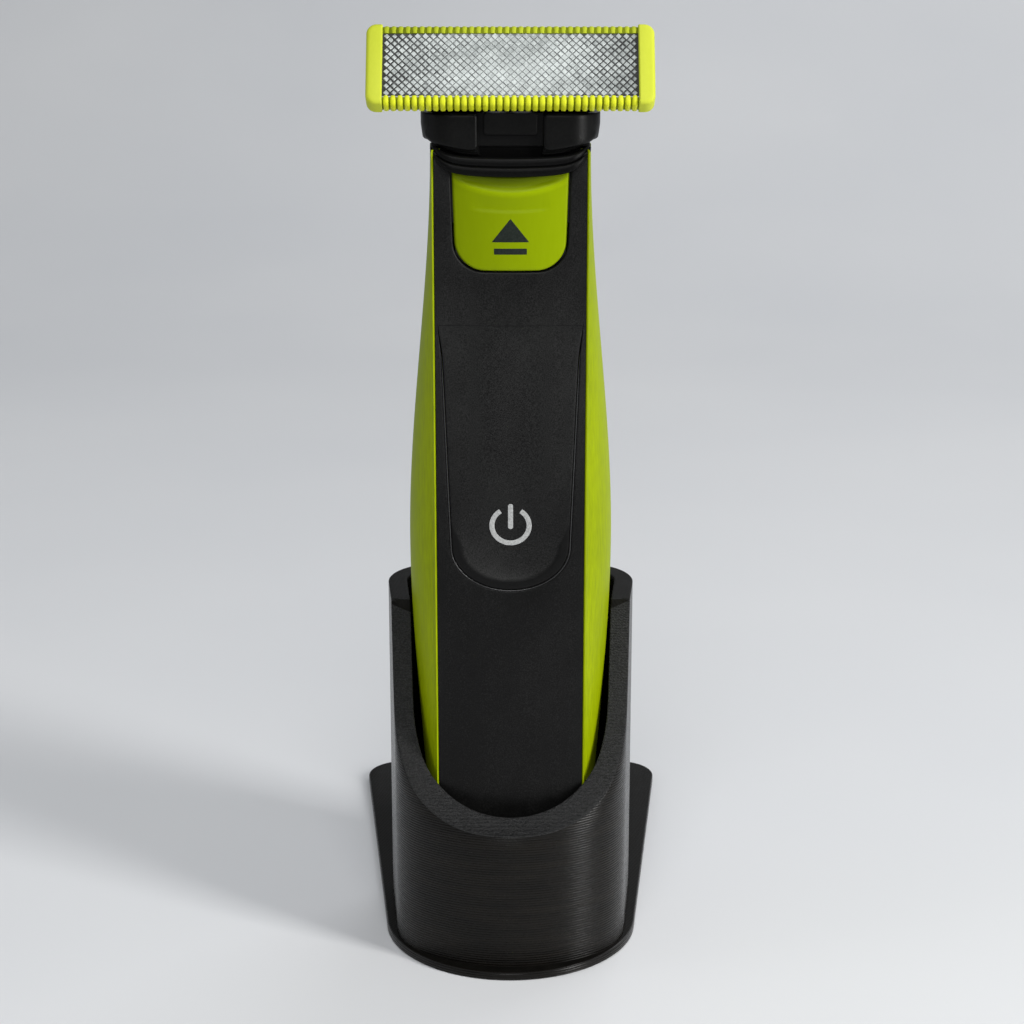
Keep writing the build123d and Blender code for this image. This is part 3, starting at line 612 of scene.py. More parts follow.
def printed_wall():
    """Black printed plastic, its layers stacked up the wall."""
    shader = Shader("printed_wall", Specular_IOR_Level=0.2)
    height = shader.axis(2) + shader.noise((0.05, 0.05, 2.4), 2.0) * 0.08
    level = shader.noise((0.12, 0.12, 0.5), 3.0) * 0.5 + shader.noise((0.02, 0.02, 1.1), 3.0) * 0.5
    shader.colour(level, (0.38, (0.0026, 0.0022, 0.0017)), (0.62, (0.0064, 0.0052, 0.0038)))
    shader.rough(shader.noise((0.4, 0.4, 2.5), 3.0), 0.22, 0.32)
    shader.bump(height.ridges(layer_pitch), 0.045, 1.0)
    shader.bump(shader.noise((0.9, 0.9, 4.0)), 0.015, 0.5)
    return shader.material


def printed_rim():
    """The scooped rim, where the layers end in short ragged strokes."""
    shader = Shader("printed_rim", Specular_IOR_Level=0.24)
    height = shader.axis(2) + shader.noise((2.6, 2.6, 0.6), 3.0, 0.6) * 0.9
    grain = shader.noise(4.5, 3.0, 0.7)
    shader.colour(grain, (0.42, (0.0028, 0.0028, 0.0029)), (0.68, grey(0.030)))
    shader.rough(grain, 0.32, 0.6)
    shader.bump(height.ridges(layer_pitch), 0.08, 0.9)
    shader.bump(grain, 0.12, 0.8)
    return shader.material


def printed_top():
    """Flat printed skin with its fine diagonal tracks."""
    shader = Shader("printed_top", Specular_IOR_Level=0.07)
    diagonal = shader.axis(0) + shader.axis(1)
    patches = shader.noise(0.3)
    shader.colour(patches, (0.3, (0.0022, 0.0020, 0.0016)), (0.75, (0.0055, 0.0050, 0.0040)))
    shader.rough(patches, 0.50, 0.55)
    shader.bump(diagonal.ridges(layer_pitch * math.sqrt(2)), 0.04, 0.7)
    shader.bump(shader.noise(3.0), 0.03, 0.7)
    return shader.material


def grained_black(name, dark, light, roughness, shine, depth=0.012):
    """Moulded black plastic with a fine spark-eroded grain."""
    shader = Shader(name, Specular_IOR_Level=shine)
    speckle = shader.noise(3.0, 1.0, 0.6)
    patches = shader.noise((0.09, 0.09, 0.06), 3.0)
    shader.colour(speckle * 0.7 + patches * 0.3, (0.34, dark), (0.64, light))
    shader.rough(patches, roughness - 0.04, roughness + 0.05)
    shader.bump(speckle, depth, 0.7)
    return shader.material


def front_black(name, painted_dish_light):
    """The front's black plastic, whose grain is strongest round the top of the power button: painted light
    lightens it upwards from the band's middle, and painted shade darkens it again above the button.

    painted_dish_light adds a painted highlight low in the thumb dish, where its floor turns up to the
    light, and makes the grain darker on the lip round it.
    """
    shader = Shader(name, Specular_IOR_Level=0.16)
    height = shader.axis(2)
    speckle = shader.noise(6.5, 1.0, 0.6)
    patches = shader.noise((0.09, 0.09, 0.06), 3.0)
    level = speckle * 0.7 + patches * 0.3
    # Painted light brightens the grain upwards to the top of the button, and painted shade darkens it
    # above.
    level *= height.between(0.76 if painted_dish_light else 0.71, 1.02, 62.0, 98.0)
    level *= height.between(1.0, 0.82, 101.0, 112.0)
    if painted_dish_light:
        across = shader.axis(0) / (button_half_width - dish_lip)
        below = (height - button_foot).maths("MINIMUM", 0.0) / (button_end - dish_lip)
        above = height.between(0.0, 1.4, button_foot, button_foot + dish_fade)
        # Painted highlight low in the dish, fading higher up, and the lip round the dish made darker.
        level *= height.between(1.34, 1.10, button_bottom + 2.5, button_foot + 2.0)
        level *= height.between(1.0, 0.91, button_foot + 1.0, button_foot + 8.0)
        level *= (across * across + below * below - above).between(1.0, 0.45, 0.84, 1.0)
    shader.colour(level, (0.34, (0.0020, 0.0020, 0.0019)), (0.64, (0.0195, 0.0195, 0.0190)))
    shader.rough(patches, 0.40, 0.48)
    shader.bump(speckle, 0.03, 0.7)
    return shader.material


def lime(name, dark, light, roughness, fibres, shine=0.06):
    """Moulded lime plastic with faint drawn streaks along its length."""
    shader = Shader(name, Specular_IOR_Level=shine)
    streaks = shader.noise((2.6, 2.6, 0.30), 4.0, 0.6)
    cloud = shader.noise((0.05, 0.05, 0.03), 1.0)
    shader.colour(streaks * fibres + cloud * (1.0 - fibres), (0.3, dark), (0.7, light))
    shader.rough(streaks, roughness - 0.05, roughness + 0.08)
    shader.bump(shader.noise(3.5, 3.0), 0.012, 0.5)
    shader.bump(streaks, 0.03, 0.25)
    return shader.material


def lime_slider():
    """The slider's lime, with painted shade in the hollow under the collar, a painted highlight on the
    crest below it, and painted light that brightens it from left to right.
    """
    shader = Shader("lime_slider", Specular_IOR_Level=0.07)
    streaks = shader.noise((2.6, 2.6, 0.30), 4.0, 0.6)
    cloud = shader.noise((0.05, 0.05, 0.03), 1.0)
    # Painted light: the lime brightens from the left side to the right.
    level = streaks * 0.08 + cloud * 0.22 + shader.axis(0).between(0.30, 0.60, -8.0, 8.0)
    away = shader.axis(0) / neck_half_width
    line = shader.axis(2) - away * away * 4.0
    # Painted highlight on the band just below the first crest, and painted shade that darkens the hollow up
    # to the collar.
    crest = line.between(0.0, 0.3, 123.9, 124.7) * line.between(1.0, 0.0, 124.7, 125.1)
    level = (level + crest) * line.between(1.0, 0.05, 124.9, 126.7)
    stops = (0.03, (0.085, 0.115, 0.0001)), (0.30, (0.145, 0.197, 0.0001)), (0.90, (0.262, 0.356, 0.0002))
    shader.colour(level, *stops)
    shader.rough(streaks, 0.33, 0.42)
    shader.bump(shader.noise(3.5, 3.0), 0.010, 0.5)
    return shader.material


def foil_metal():
    """Etched steel pads, mottled, with painted shade that makes them a little darker towards the ends."""
    shader = Shader("foil_metal", Metallic=0.55)
    foil_mottle = shader.noise(2.2, 4.0, 0.7)
    away = abs(shader.axis(0)) / head_half_length
    # Painted shade: darker towards the ends of the head.
    level = foil_mottle * 0.65 + shader.noise((0.14, 0.3, 0.3), 2.0) * 0.35 - away.between(0.0, 0.07, 0.35, 0.9)
    shader.colour(level, (0.36, (0.25, 0.27, 0.262)), (0.60, (0.55, 0.585, 0.57)))
    shader.rough(foil_mottle, 0.45, 0.62)
    shader.bump(shader.noise(6.0), 0.03, 0.7)
    return shader.material


def foil_gap():
    """The slots between the pads, coloured with painted shade that deepens towards the ends, where the pads
    stand further apart.
    """
    shader = Shader("foil_gap", Metallic=0.4)
    foil_mottle = shader.noise(1.2, 4.0, 0.65)
    away = abs(shader.axis(0)) / head_half_length
    stops = (0.10, grey(0.008)), (0.32, (0.05, 0.052, 0.051)), (0.60, (0.30, 0.315, 0.31))
    # Painted shade in the slots, deepest towards the ends.
    shader.colour(foil_mottle - away * away * 0.45, *stops)
    shader.rough(foil_mottle, 0.45, 0.7)
    return shader.material


def metal(name, dark, light, roughness, stretch=(0.6, 0.6, 8.0)):
    """Machined or drawn metal with fine marks."""
    shader = Shader(name, Metallic=1.0)
    marks = shader.noise(stretch, 4.0, 0.6)
    shader.colour(marks, (0.35, dark), (0.65, light))
    shader.rough(marks, roughness - 0.07, roughness + 0.07)
    shader.bump(marks, 0.01, 0.4)
    return shader.material


def mark(name, dark, light, shine=0.4):
    """Ink or paint laid on the plastic."""
    shader = Shader(name, Specular_IOR_Level=shine)
    shader.colour(shader.noise(3.0, 3.0), (0.35, dark), (0.65, light))
    shader.rough(shader.noise(1.0), 0.45, 0.6)
    shader.bump(shader.noise(4.0), 0.01, 0.5)
    return shader.material


def plain_plastic(name, dark, light, roughness=0.5):
    """Moulded plastic for the pieces inside."""
    shader = Shader(name)
    cloud = shader.noise(0.5)
    shader.colour(cloud, (0.3, dark), (0.7, light))
    shader.rough(cloud, roughness - 0.06, roughness + 0.06)
    shader.bump(shader.noise(3.0), 0.02, 0.4)
    return shader.material


def stage_material(name, deep, dark, light):
    """A pale studio surface with a faint mottle, and painted shade that darkens it towards the lamps in
    front of the stand, against their pool of light.
    """
    shader = Shader(name, Specular_IOR_Level=0.08)
    towards_lamps = shader.axis(0) * 0.5 - shader.axis(1) * 0.87
    # Painted shade towards the lamps.
    level = shader.noise(0.004, 3.0) * towards_lamps.between(1.0, 0.0, 130.0, 400.0)
    shader.colour(level, (0.0, deep), (0.3, dark), (0.7, light))
    shader.rough(level, 0.62, 0.72)
    return shader.material


WALL = printed_wall()
RIM = printed_rim()
TOP = printed_top()
BAND = front_black("band_black", False)
TONGUE = front_black("tongue_black", True)
# A darker copy of the neck's black: painted shade for the recess under the deck.
NECK_PAINTED_SHADE = grained_black("neck_painted_shade", grey(0.0006), grey(0.0012), 0.6, 0.04)
NECK = grained_black("neck_black", grey(0.0020), (0.0040, 0.0040, 0.0038), 0.38, 0.15)
RING = grained_black("ring_black", grey(0.0018), (0.0036, 0.0036, 0.0034), 0.40, 0.08)
BEAD = grained_black("bead_black", grey(0.012), grey(0.020), 0.24, 0.55, 0.004)
LIME = lime("lime_casing", (0.205, 0.265, 0.0004), (0.335, 0.42, 0.0012), 0.45, 0.6)
LIME_SLIDER = lime_slider()
LIME_HEAD = lime("lime_head", (0.51, 0.57, 0.040), (0.59, 0.64, 0.060), 0.40, 0.25)
LIME_COMB = lime("lime_comb", (0.60, 0.64, 0.016), (0.68, 0.72, 0.026), 0.38, 0.25, 0.15)
# A darker copy of the comb's lime for the upper comb: painted shade.
LIME_TOP_PAINTED_SHADE = lime("lime_comb_top_painted_shade", (0.36, 0.42, 0.020), (0.46, 0.52, 0.035), 0.42, 0.25)
# Dark lime: painted shade between the comb's ribs.
LIME_PAINTED_SHADE = lime("lime_painted_shade", (0.12, 0.15, 0.003), (0.20, 0.24, 0.006), 0.5, 0.25)
FOIL = foil_metal()
FOIL_GAP = foil_gap()
MARK_LIGHT = mark("mark_light", (0.31, 0.315, 0.31), (0.44, 0.445, 0.44))
MARK_DARK = mark("mark_dark", (0.011, 0.015, 0.012), (0.018, 0.023, 0.019), 0.1)
STEEL = metal("bright_steel", (0.40, 0.40, 0.41), (0.62, 0.62, 0.63), 0.3)
SPRING = metal("spring_steel", (0.30, 0.30, 0.31), (0.5, 0.5, 0.52), 0.32, (6.0, 6.0, 1.0))
BRASS = metal("contact_brass", (0.55, 0.40, 0.15), (0.78, 0.60, 0.28), 0.28)
INNER = plain_plastic("inner_plastic", (0.035, 0.035, 0.037), (0.06, 0.06, 0.062))
ACETAL = plain_plastic("white_acetal", (0.62, 0.62, 0.59), (0.74, 0.74, 0.71), 0.36)
RUBBER = plain_plastic("seal_rubber", grey(0.012), grey(0.02), 0.7)
BOARD = plain_plastic("board_green", (0.010, 0.07, 0.028), (0.016, 0.11, 0.042), 0.3)
LAMP = plain_plastic("lamp_clear", (0.6, 0.64, 0.6), (0.72, 0.75, 0.72), 0.2)
SLEEVE = plain_plastic("cell_sleeve", (0.02, 0.08, 0.26), (0.03, 0.11, 0.34), 0.34)
STAGE = stage_material("studio_pale", (0.22, 0.224, 0.232), (0.70, 0.71, 0.73), (0.76, 0.765, 0.775))


def scoop_edge(share):
    """The scoop's edge from its lip to the cup's flat top: a depth and a height."""
    points = (
        (0.0, lip_height),
        (scoop_lip_reach, lip_height + scoop_lip_rise),
        (scoop_length - scoop_back_reach, cup_height - scoop_back_drop),
        (scoop_length, cup_height),
    )
    rest = 1 - share
    weights = (rest**3, 3 * rest**2 * share, 3 * rest * share**2, share**3)
    return tuple(sum(weight * point[axis] for weight, point in zip(weights, points)) for axis in (0, 1))


def rim_height(y):
    """The rim's height at a place along Y."""
    depth = y - cup_front
    if depth >= scoop_length:
        return cup_height
    low = 0.0
    high = 1.0
    for _ in range(30):
        middle = (low + high) / 2
        if scoop_edge(middle)[0] < depth:
            low = middle
        else:
            high = middle
    return scoop_edge(low)[1]


def cup_half(inset):
    """The right half of the cup's outline, drawn in by an inset, with a steady number of points."""
    reach = cup_front_half_width - cup_corner_radius
    nose = reach**2 + cup_front_depth**2 - cup_corner_radius**2
    nose /= 2 * (cup_front_depth - cup_corner_radius)
    lean = math.atan2(cup_rear_half_width - cup_front_half_width, cup_depth - cup_front_depth)
    turned = math.asin(reach / (nose - cup_corner_radius)) - QUARTER
    points = arc((0.0, cup_front + nose), nose - inset, -QUARTER, turned, 48)
    points += arc((reach, cup_front + cup_front_depth), cup_corner_radius - inset, turned, -lean, 40)[1:]
    side_x, side_y = points[-1]
    radius = cup_rear_corner - inset
    rear_y = cup_front + cup_depth - inset
    centre_y = cup_front + cup_depth - cup_rear_corner
    centre_x = side_x + ((centre_y - side_y) * math.sin(lean) - radius) / math.cos(lean)
    rear = arc((centre_x, centre_y), radius, -lean, QUARTER, 20)
    slope = (rear[0][0] - side_x) / (rear[0][1] - side_y)
    # Points close together where the scoop's edge bends into the flat top
    for index, share in enumerate((0.86, 0.89, 0.92, 0.945, 0.965, 0.98, 0.99, 1.0)):
        y = cup_front + scoop_edge(share)[0] - cup_wall * math.sin(lean) * (inset > 0)
        if y <= side_y + 0.02:
            y = side_y + 0.002 * (index + 1)
        points.append((side_x + (y - side_y) * slope, y))
    points += spread(points[-1], rear[0], 16)
    points += rear
    points += spread(rear[-1], (0.0, rear_y), 16)
    return points + [(0.0, rear_y)]


def rim_edge(wall, side, steps):
    """Places on the rim's rounded edge above a wall, where side points into the wall."""
    line = []
    for step in steps:
        angle = step * math.pi / 6
        place = wall + side * rim_rounding * (1 - math.cos(angle))
        line.append((*place, rim_height(place.y) - rim_rounding * (1 - math.sin(angle))))
    return line


def wall_line(out, into):
    """Places up the cup's outer wall, over its rim and down its inner wall."""
    side = (into - out).normalized()
    foot = plate_thickness * 0.4
    top = rim_height(out.y) - rim_rounding
    line = [(*out, foot + (top - foot) * step / (rim_start - 1)) for step in range(rim_start)]
    line += rim_edge(out, side, (1, 2))
    for step in range(10):
        place = out + side * (rim_rounding + (cup_wall - 2 * rim_rounding) * step / 9)
        ragged = 0.0
        if place.y < cup_front + scoop_length - 0.2:
            ragged = rim_raggedness * noise.noise(Vector((place.x * 2.3, place.y * 2.3, 3.1)))
        line.append((*place, rim_height(place.y) + ragged - 0.02))
    line += rim_edge(into, -side, (2, 1))
    top = rim_height(into.y) - rim_rounding
    return line + [(*into, top + (cup_floor - top) * step / 6) for step in range(7)]


def plate_half():
    """The right half of the base plate's outline."""
    middle = plate_front + plate_front_radius
    lean = math.atan2(plate_rear_half_width - plate_front_radius, plate_rear - middle)
    half = arc((0.0, middle), plate_front_radius, -QUARTER, -lean, 60)
    corner = (plate_rear_half_width, plate_rear - plate_rear_bow)
    outline = rounded_corners([(*half[-1], 0.0), (*corner, plate_rear_corner), (0.0, plate_rear, 0.0)], 16)
    half += spread(half[-1], outline[1], 14) + outline[1:-1]
    rear = [half[-1][0] * (1 - step / 14) for step in range(1, 15)]
    return half + [(x, plate_rear - plate_rear_bow * (x / corner[0]) ** 2) for x in rear]


def build_stand():
    """The printed stand: a scooped cup on a flat plate, in one piece."""
    outer = mirrored(cup_half(0.0))
    inner = mirrored(cup_half(cup_wall))
    lines = [wall_line(Vector(out), Vector(into)) for out, into in zip(outer, inner)]
    points = [point for line in lines for point in line]
    count = len(lines)
    steps = len(lines[0])
    faces = []
    materials = []
    for index in range(count):
        here = index * steps
        after = (index + 1) % count * steps
        rim_material = 2 if outer[index][1] > cup_front + scoop_length - 0.1 else 1
        for step in range(steps - 1):
            faces.append((here + step, after + step, after + step + 1, here + step + 1))
            materials.append(rim_material if rim_start <= step < rim_end else 0)
    faces.append(tuple(index * steps + steps - 1 for index in range(count)))
    faces.append(tuple(index * steps for index in reversed(range(count))))
    materials += [2, 0]

    # The plate, with a small rounding at its upper and lower edges
    outline = mirrored(plate_half())
    size = len(outline)
    soft = plate_edge * 0.3
    levels = [(plate_edge, 0.0), (0.0, plate_edge), (0.0, plate_thickness - plate_edge)]
    levels += [(soft, plate_thickness - soft), (plate_edge, plate_thickness)]
    for inset, height in levels:
        start = len(points)
        ring = grown(outline, -inset) if inset else outline
        points += [(x, y, height) for x, y in ring]
        if height > 0:
            faces += joined(start - size, start, size)
            materials += [0] * size
    first = len(points) - len(levels) * size
    faces.append(tuple(range(len(points) - size, len(points))))
    faces.append(tuple(reversed(range(first, first + size))))
    materials += [2, 2]

    mesh = bpy.data.meshes.new("printed_stand")
    mesh.from_pydata(as_metres(points), [], faces)
    mesh.polygons.foreach_set("material_index", materials)
    mesh.materials.append(WALL)
    mesh.materials.append(RIM)
    bm = bmesh.new()
    bm.from_mesh(mesh)
    dress(finished("printed_stand", bm, mesh, 38.0), TOP, "stand", ["stand_body"])


def handle_size(height):
    """The handle's half width and depth at a height above its foot."""
    if height <= belly_height:
        return between(foot_size, belly_size, ease(height / belly_height))
    return between(belly_size, neck_size, ease((height - belly_height) / (handle_height - belly_height)))


def casing_line(height, inset, edge):
    """The casing's outline from the band's right edge round the back to its left edge."""
    half_width, depth = handle_size(height)
    widest = handle_front + widest_share * depth
    run = half_width - edge
    fall = widest - (handle_front + front_crown)
    radius = (run**2 + fall**2) / (2 * run)
    sweep = math.asin(min(1.0, fall / radius))
    side = arc((half_width - radius, widest), radius - inset, -sweep, 0.0, 18)
    back = handle_front + depth - widest - inset
    around = oval((0.0, widest), (half_width - inset, back), 0.0, math.pi, 56)[1:-1]
    return side + around + flipped(side)


def grip_dent(x, z, y):
    """How deep the grip grooves are at a place on the back."""
    if y < belly_middle:
        return 0.0
    middle = handle_bottom + belly_height
    nearest = round((z - middle) / grip_pitch)
    if abs(nearest) > grip_count // 2:
        return 0.0
    off = abs(z - middle - nearest * grip_pitch)
    across = abs(x) - (grip_half_width - grip_height / 2)
    distance = math.hypot(max(across, 0.0), off)
    share = max(0.0, 1.0 - (distance / (grip_height / 2)) ** 2)
    return grip_depth * min(1.0, share * 1.8)


def build_casing():
    """The lime back shell, closed all round, with grip grooves across its back."""
    low = shell_low.z
    high = shell_high.z
    seam = band_half_width + 0.01
    levels = [low, low + 0.15, low + 0.5, *spaced(low + 0.5, grip_low, 2.2), grip_low]
    levels += [*spaced(grip_low, grip_high, 0.4), grip_high]
    levels += [*spaced(grip_high, high - 0.4, 2.2), high - 0.4, high]
    rings = []
    for z in levels:
        height = z - handle_bottom
        outer = casing_line(height, 0.15 if z == low else 0.0, seam)
        inner = casing_line(height, casing_wall, seam)
        dented = []
        for x, y in outer:
            pull = 1.0 - grip_dent(x, z, y) / max(1.0, math.hypot(x, y - belly_middle))
            dented.append((x * pull, belly_middle + (y - belly_middle) * pull))
        x, y = dented[0]
        edge = [(x + 0.3, y + 0.01), (x + 0.16, y + 0.02), (x + 0.04, y + 0.12), (x, y + edge_radius)]
        edge.append((x, y + casing_wall))
        ring = edge[:1] + dented[1:-1] + [(-x, y) for x, y in edge]
        ring += reversed(inner[4:-4])
        ring += reversed(edge[1:])
        rings.append([(x, y, z) for x, y in ring])
    dress(lofted("lime_casing", rings, degrees=50.0), LIME, "handle", ["back_shell"])


def tongue_outline():
    """The power button's outline: a half oval below and sides that flare to the top."""
    line = oval((0.0, button_foot), (button_half_width, button_end), math.pi, 2 * math.pi, 40)
    right = []
    for z in [button_foot + (button_top - button_foot) * step / 24 for step in range(1, 25)]:
        flare = ease(held((z - button_top + button_flare_length) / button_flare_length)) ** 2
        right.append((button_half_width + button_widening * (z - button_foot) + button_flare * flare, z))
    return line + right + flipped(right)


def near_hinge(x, z):
    """The share of a rounding that is left towards the button's hinge, where it runs into the band."""
    return held((button_top - z) / button_flare_length)


def slider_outline(gap, top):
    """The release slider's outline, anticlockwise as seen from the front, with a top that sags."""
    foot = slider_bottom_half_width + gap
    head = slider_top_half_width + gap
    low = slider_bottom - gap
    across = [head * (1 - 2 * step / smile_steps) for step in range(smile_steps + 1)]
    top_line = [(x, top + smile * (x / neck_half_width) ** 2) for x in across]
    side = top_line[0][1]
    lower = [(-head, side, 0.0), (-foot, low, slider_corner), (foot, low, slider_corner), (head, side, 0.0)]
    return rounded_corners(lower, 12)[1:-1] + top_line


def band_rounding(x, z):
    """The share of the band's rounding: little at its sides, none where the button runs into it."""
    if abs(x) > band_half_width - 0.1:
        return 0.2
    return 1.0 if z > button_top + 1 else near_hinge(x, z)


def build_front():
    """The flat black band with its two windows, and the bright bead round the button's window."""
    side = band_half_width - 0.02
    window_top = cover_high.z
    head = slider_top_half_width + button_gap
    notch = slider_outline(button_gap, window_top)[: -smile_steps - 1]
    shoulder = [(side, window_top - 0.2), (head, window_top - 1.6)]
    outline = [(-side, cover_low.z), (side, cover_low.z), *shoulder, *reversed(notch), *flipped(shoulder)]
    hole = grown(tongue_outline(), button_gap, lambda x, z: 0.18 + 0.60 * near_hinge(x, z))
    hole = [(x, min(z, button_top + 0.045)) for x, z in reversed(hole)]
    size = (cover_low.y, casing_wall, edge_radius, (1.9, 6.0))
    piece = plate("front_band", outline, *size, bulge=crown, share=band_rounding, holes=[hole])
    dress(piece, BAND, "handle", ["front_cover"])

    path = grown(tongue_outline(), button_gap, lambda x, z: 0.45)
    path = [(x, z) for x, z in path if z < button_top - 3.0]
    start = max(range(len(path)), key=lambda index: path[index][1] if path[index][0] < 0 else 0.0)
    path = path[start:] + path[:start]
    rings = []
    for index, (x, z) in enumerate(path):
        before = Vector(path[max(index - 1, 0)])
        after = Vector(path[min(index + 1, len(path) - 1)])
        along = (after - before).normalized()
        radius = bead_radius * min(1.0, 0.25 + min(index, len(path) - 1 - index) / 6)
        ring = []
        for out, lift in arc((0.0, 0.0), radius, 0.0, 2 * math.pi, 8)[:-1]:
            ring.append((x + along.y * out, cover_low.y + 0.05 + crown(x) - lift, z - along.x * out))
        rings.append(ring)
    dress(lofted("window_bead", rings, degrees=60.0), BEAD, "handle")


def dish(x, z):
    """How deep the thumb dish is at a place on the button."""
    across = x / (button_half_width - dish_lip)
    below = min(0.0, z - button_foot) / (button_end - dish_lip)
    edge = math.hypot(across, below)
    if edge >= 1:
        return 0.0
    fade = 1.0 - ease(held((z - button_foot) / dish_fade))
    return dish_depth * fade * (1 - edge**dish_flatness) ** dish_fullness


def lay_marks(marks, front, spacing, bulge, material, body):
    """Thin marks laid on a front, each a name and an outline."""
    size = (front - mark_proud, mark_thickness, mark_edge, (spacing, spacing))
    for name, outline in marks.items():
        dress(plate(name, outline, *size, bulge=bulge), material, body)


def build_button():
    """The power button's tongue and the mark in its dish."""
    size = (button_low.y, button_thickness, 0.3, (0.6, 2.0))
    fine = (button_bottom + 0.8, button_foot + dish_fade, 0.35)
    piece = plate(
        "power_tongue", tongue_outline(), *size, bulge=crown, relief=dish, fine=fine, share=near_hinge
    )
    dress(piece, TONGUE, "power_button", ["power_button"])

    start = QUARTER + mark_opening
    end = QUARTER + 2 * math.pi - mark_opening
    ring = arc((0.0, mark_centre), mark_radius, start, end, 60)
    ring += arc((0.0, mark_centre), mark_radius - mark_stroke, end, start, 60)
    half = mark_stroke / 2
    bend = 0.95 * half
    bar = strip_outline(half, mark_centre - 0.6, mark_centre + mark_radius + 0.35, bend, bend, 5)
    marks = {"power_mark_ring": ring, "power_mark_bar": bar}
    lay_marks(marks, button_low.y, 0.5, lambda x, z: crown(x) + dish(x, z), MARK_LIGHT, "power_button")


def slider_relief(x, z):
    """The slider's face: two soft steps, each a hollow that ends in a crest curved like the collar."""
    face = 0.0
    for crest, bend, half, depth, rise, tail in slider_crests:
        above = z - crest - bend * (x / neck_half_width) ** 2
        fade = depth * max(0.0, 1.0 - (abs(x) / half) ** 5)
        if 0 < above < rise:
            face += fade * ease(above / rise)
        elif rise <= above < rise + tail:
            face += fade * (1.0 - ease((above - rise) / tail))
    return face


def slider_bulge(x, z):
    """How far the slider falls back towards its sides."""
    return crown(x) + slider_sag * (x / slider_top_half_width) ** 2


def slider_surface(x, z):
    """How far back the slider's front is at a place."""
    return slider_bulge(x, z) + slider_relief(x, z)


def build_slider():
    """The release slider, its mark, and the bar behind it."""
    size = (slider_front, slider_thickness, slider_edge, (0.7, 1.6))
    fine = (slider_top - 6.6, slider_top + 1.5, 0.14)
    outline = slider_outline(0.0, slider_top)
    piece = plate("release_thumb", outline, *size, bulge=slider_bulge, relief=slider_relief, fine=fine)
    dress(piece, LIME_SLIDER, "release_slider", ["release_slider"])

    corner_list = [(x, arrow_low, 0.08) for x in (-arrow_half_width, arrow_half_width)]
    arrow = rounded_corners(corner_list + [(0.0, arrow_high, 0.08)], 3)
    bar = strip_outline(bar_half_width, bar_low, bar_high, 0.06, 0.06, 3)
    marks = {"eject_mark_arrow": arrow, "eject_mark_bar": bar}
    lay_marks(marks, slider_front, 0.6, slider_surface, MARK_DARK, "release_slider")

    latch = strip_outline(latch_half_width, latch_low, latch_high, 0.4, 0.7, 5)
    piece = plate("latch_bar", latch, latch_front, latch_thickness, 0.15, (1.3, 3.0))
    dress(piece, INNER, "release_slider")
    stem_low = latch_low + 0.6
    stem = strip_outline(stem_half_width, stem_low, stem_low + stem_height, 0.3, 0.3, 4)
    piece = plate("latch_stem", stem, slider_front + slider_thickness - 0.2, stem_depth, 0.1, (1.3, 3.0))
    dress(piece, INNER, "release_slider")


def neck_loop(half_width, front, back, corner, fall):
    """A closed outline round the neck, anticlockwise from above, whose front falls back to its corners."""
    widest = handle_front + widest_share * neck_depth
    flat = half_width - corner
    steps = 28
    half = [(flat * step / steps, front + fall * (step / steps) ** 2) for step in range(steps + 1)]
    half += arc((flat, front + fall + corner), corner, -QUARTER, 0.0, 12)[1:]
    half += spread(half[-1], (half_width, widest), 4)
    half += oval((0.0, widest), (half_width, back - widest), 0.0, QUARTER, 30)
    half[-1] = (0.0, back)
    return mirrored(half)


def wrap(x, y):
    """How far the neck has turned from its front to its side at a place on its outline, from 0 to 1."""
    if y > handle_front + widest_share * neck_depth:
        return 1.0
    share = min(1.0, abs(x) / collar_half_width)
    return 0.2 * share**2 + 0.8 * share**7


def collar_foot(x, y):
    """The height of the collar's lower edge, which rises where the neck turns to its sides."""
    return collar_low.z + collar_foot_height + collar_foot_rise * wrap(x, y)


def collar_rim(x, y):
    """The height of the collar's upper edge, where the blade carrier's skirt sits down on it."""
    return collar_low.z + collar_rim_height + collar_rim_rise * wrap(x, y)


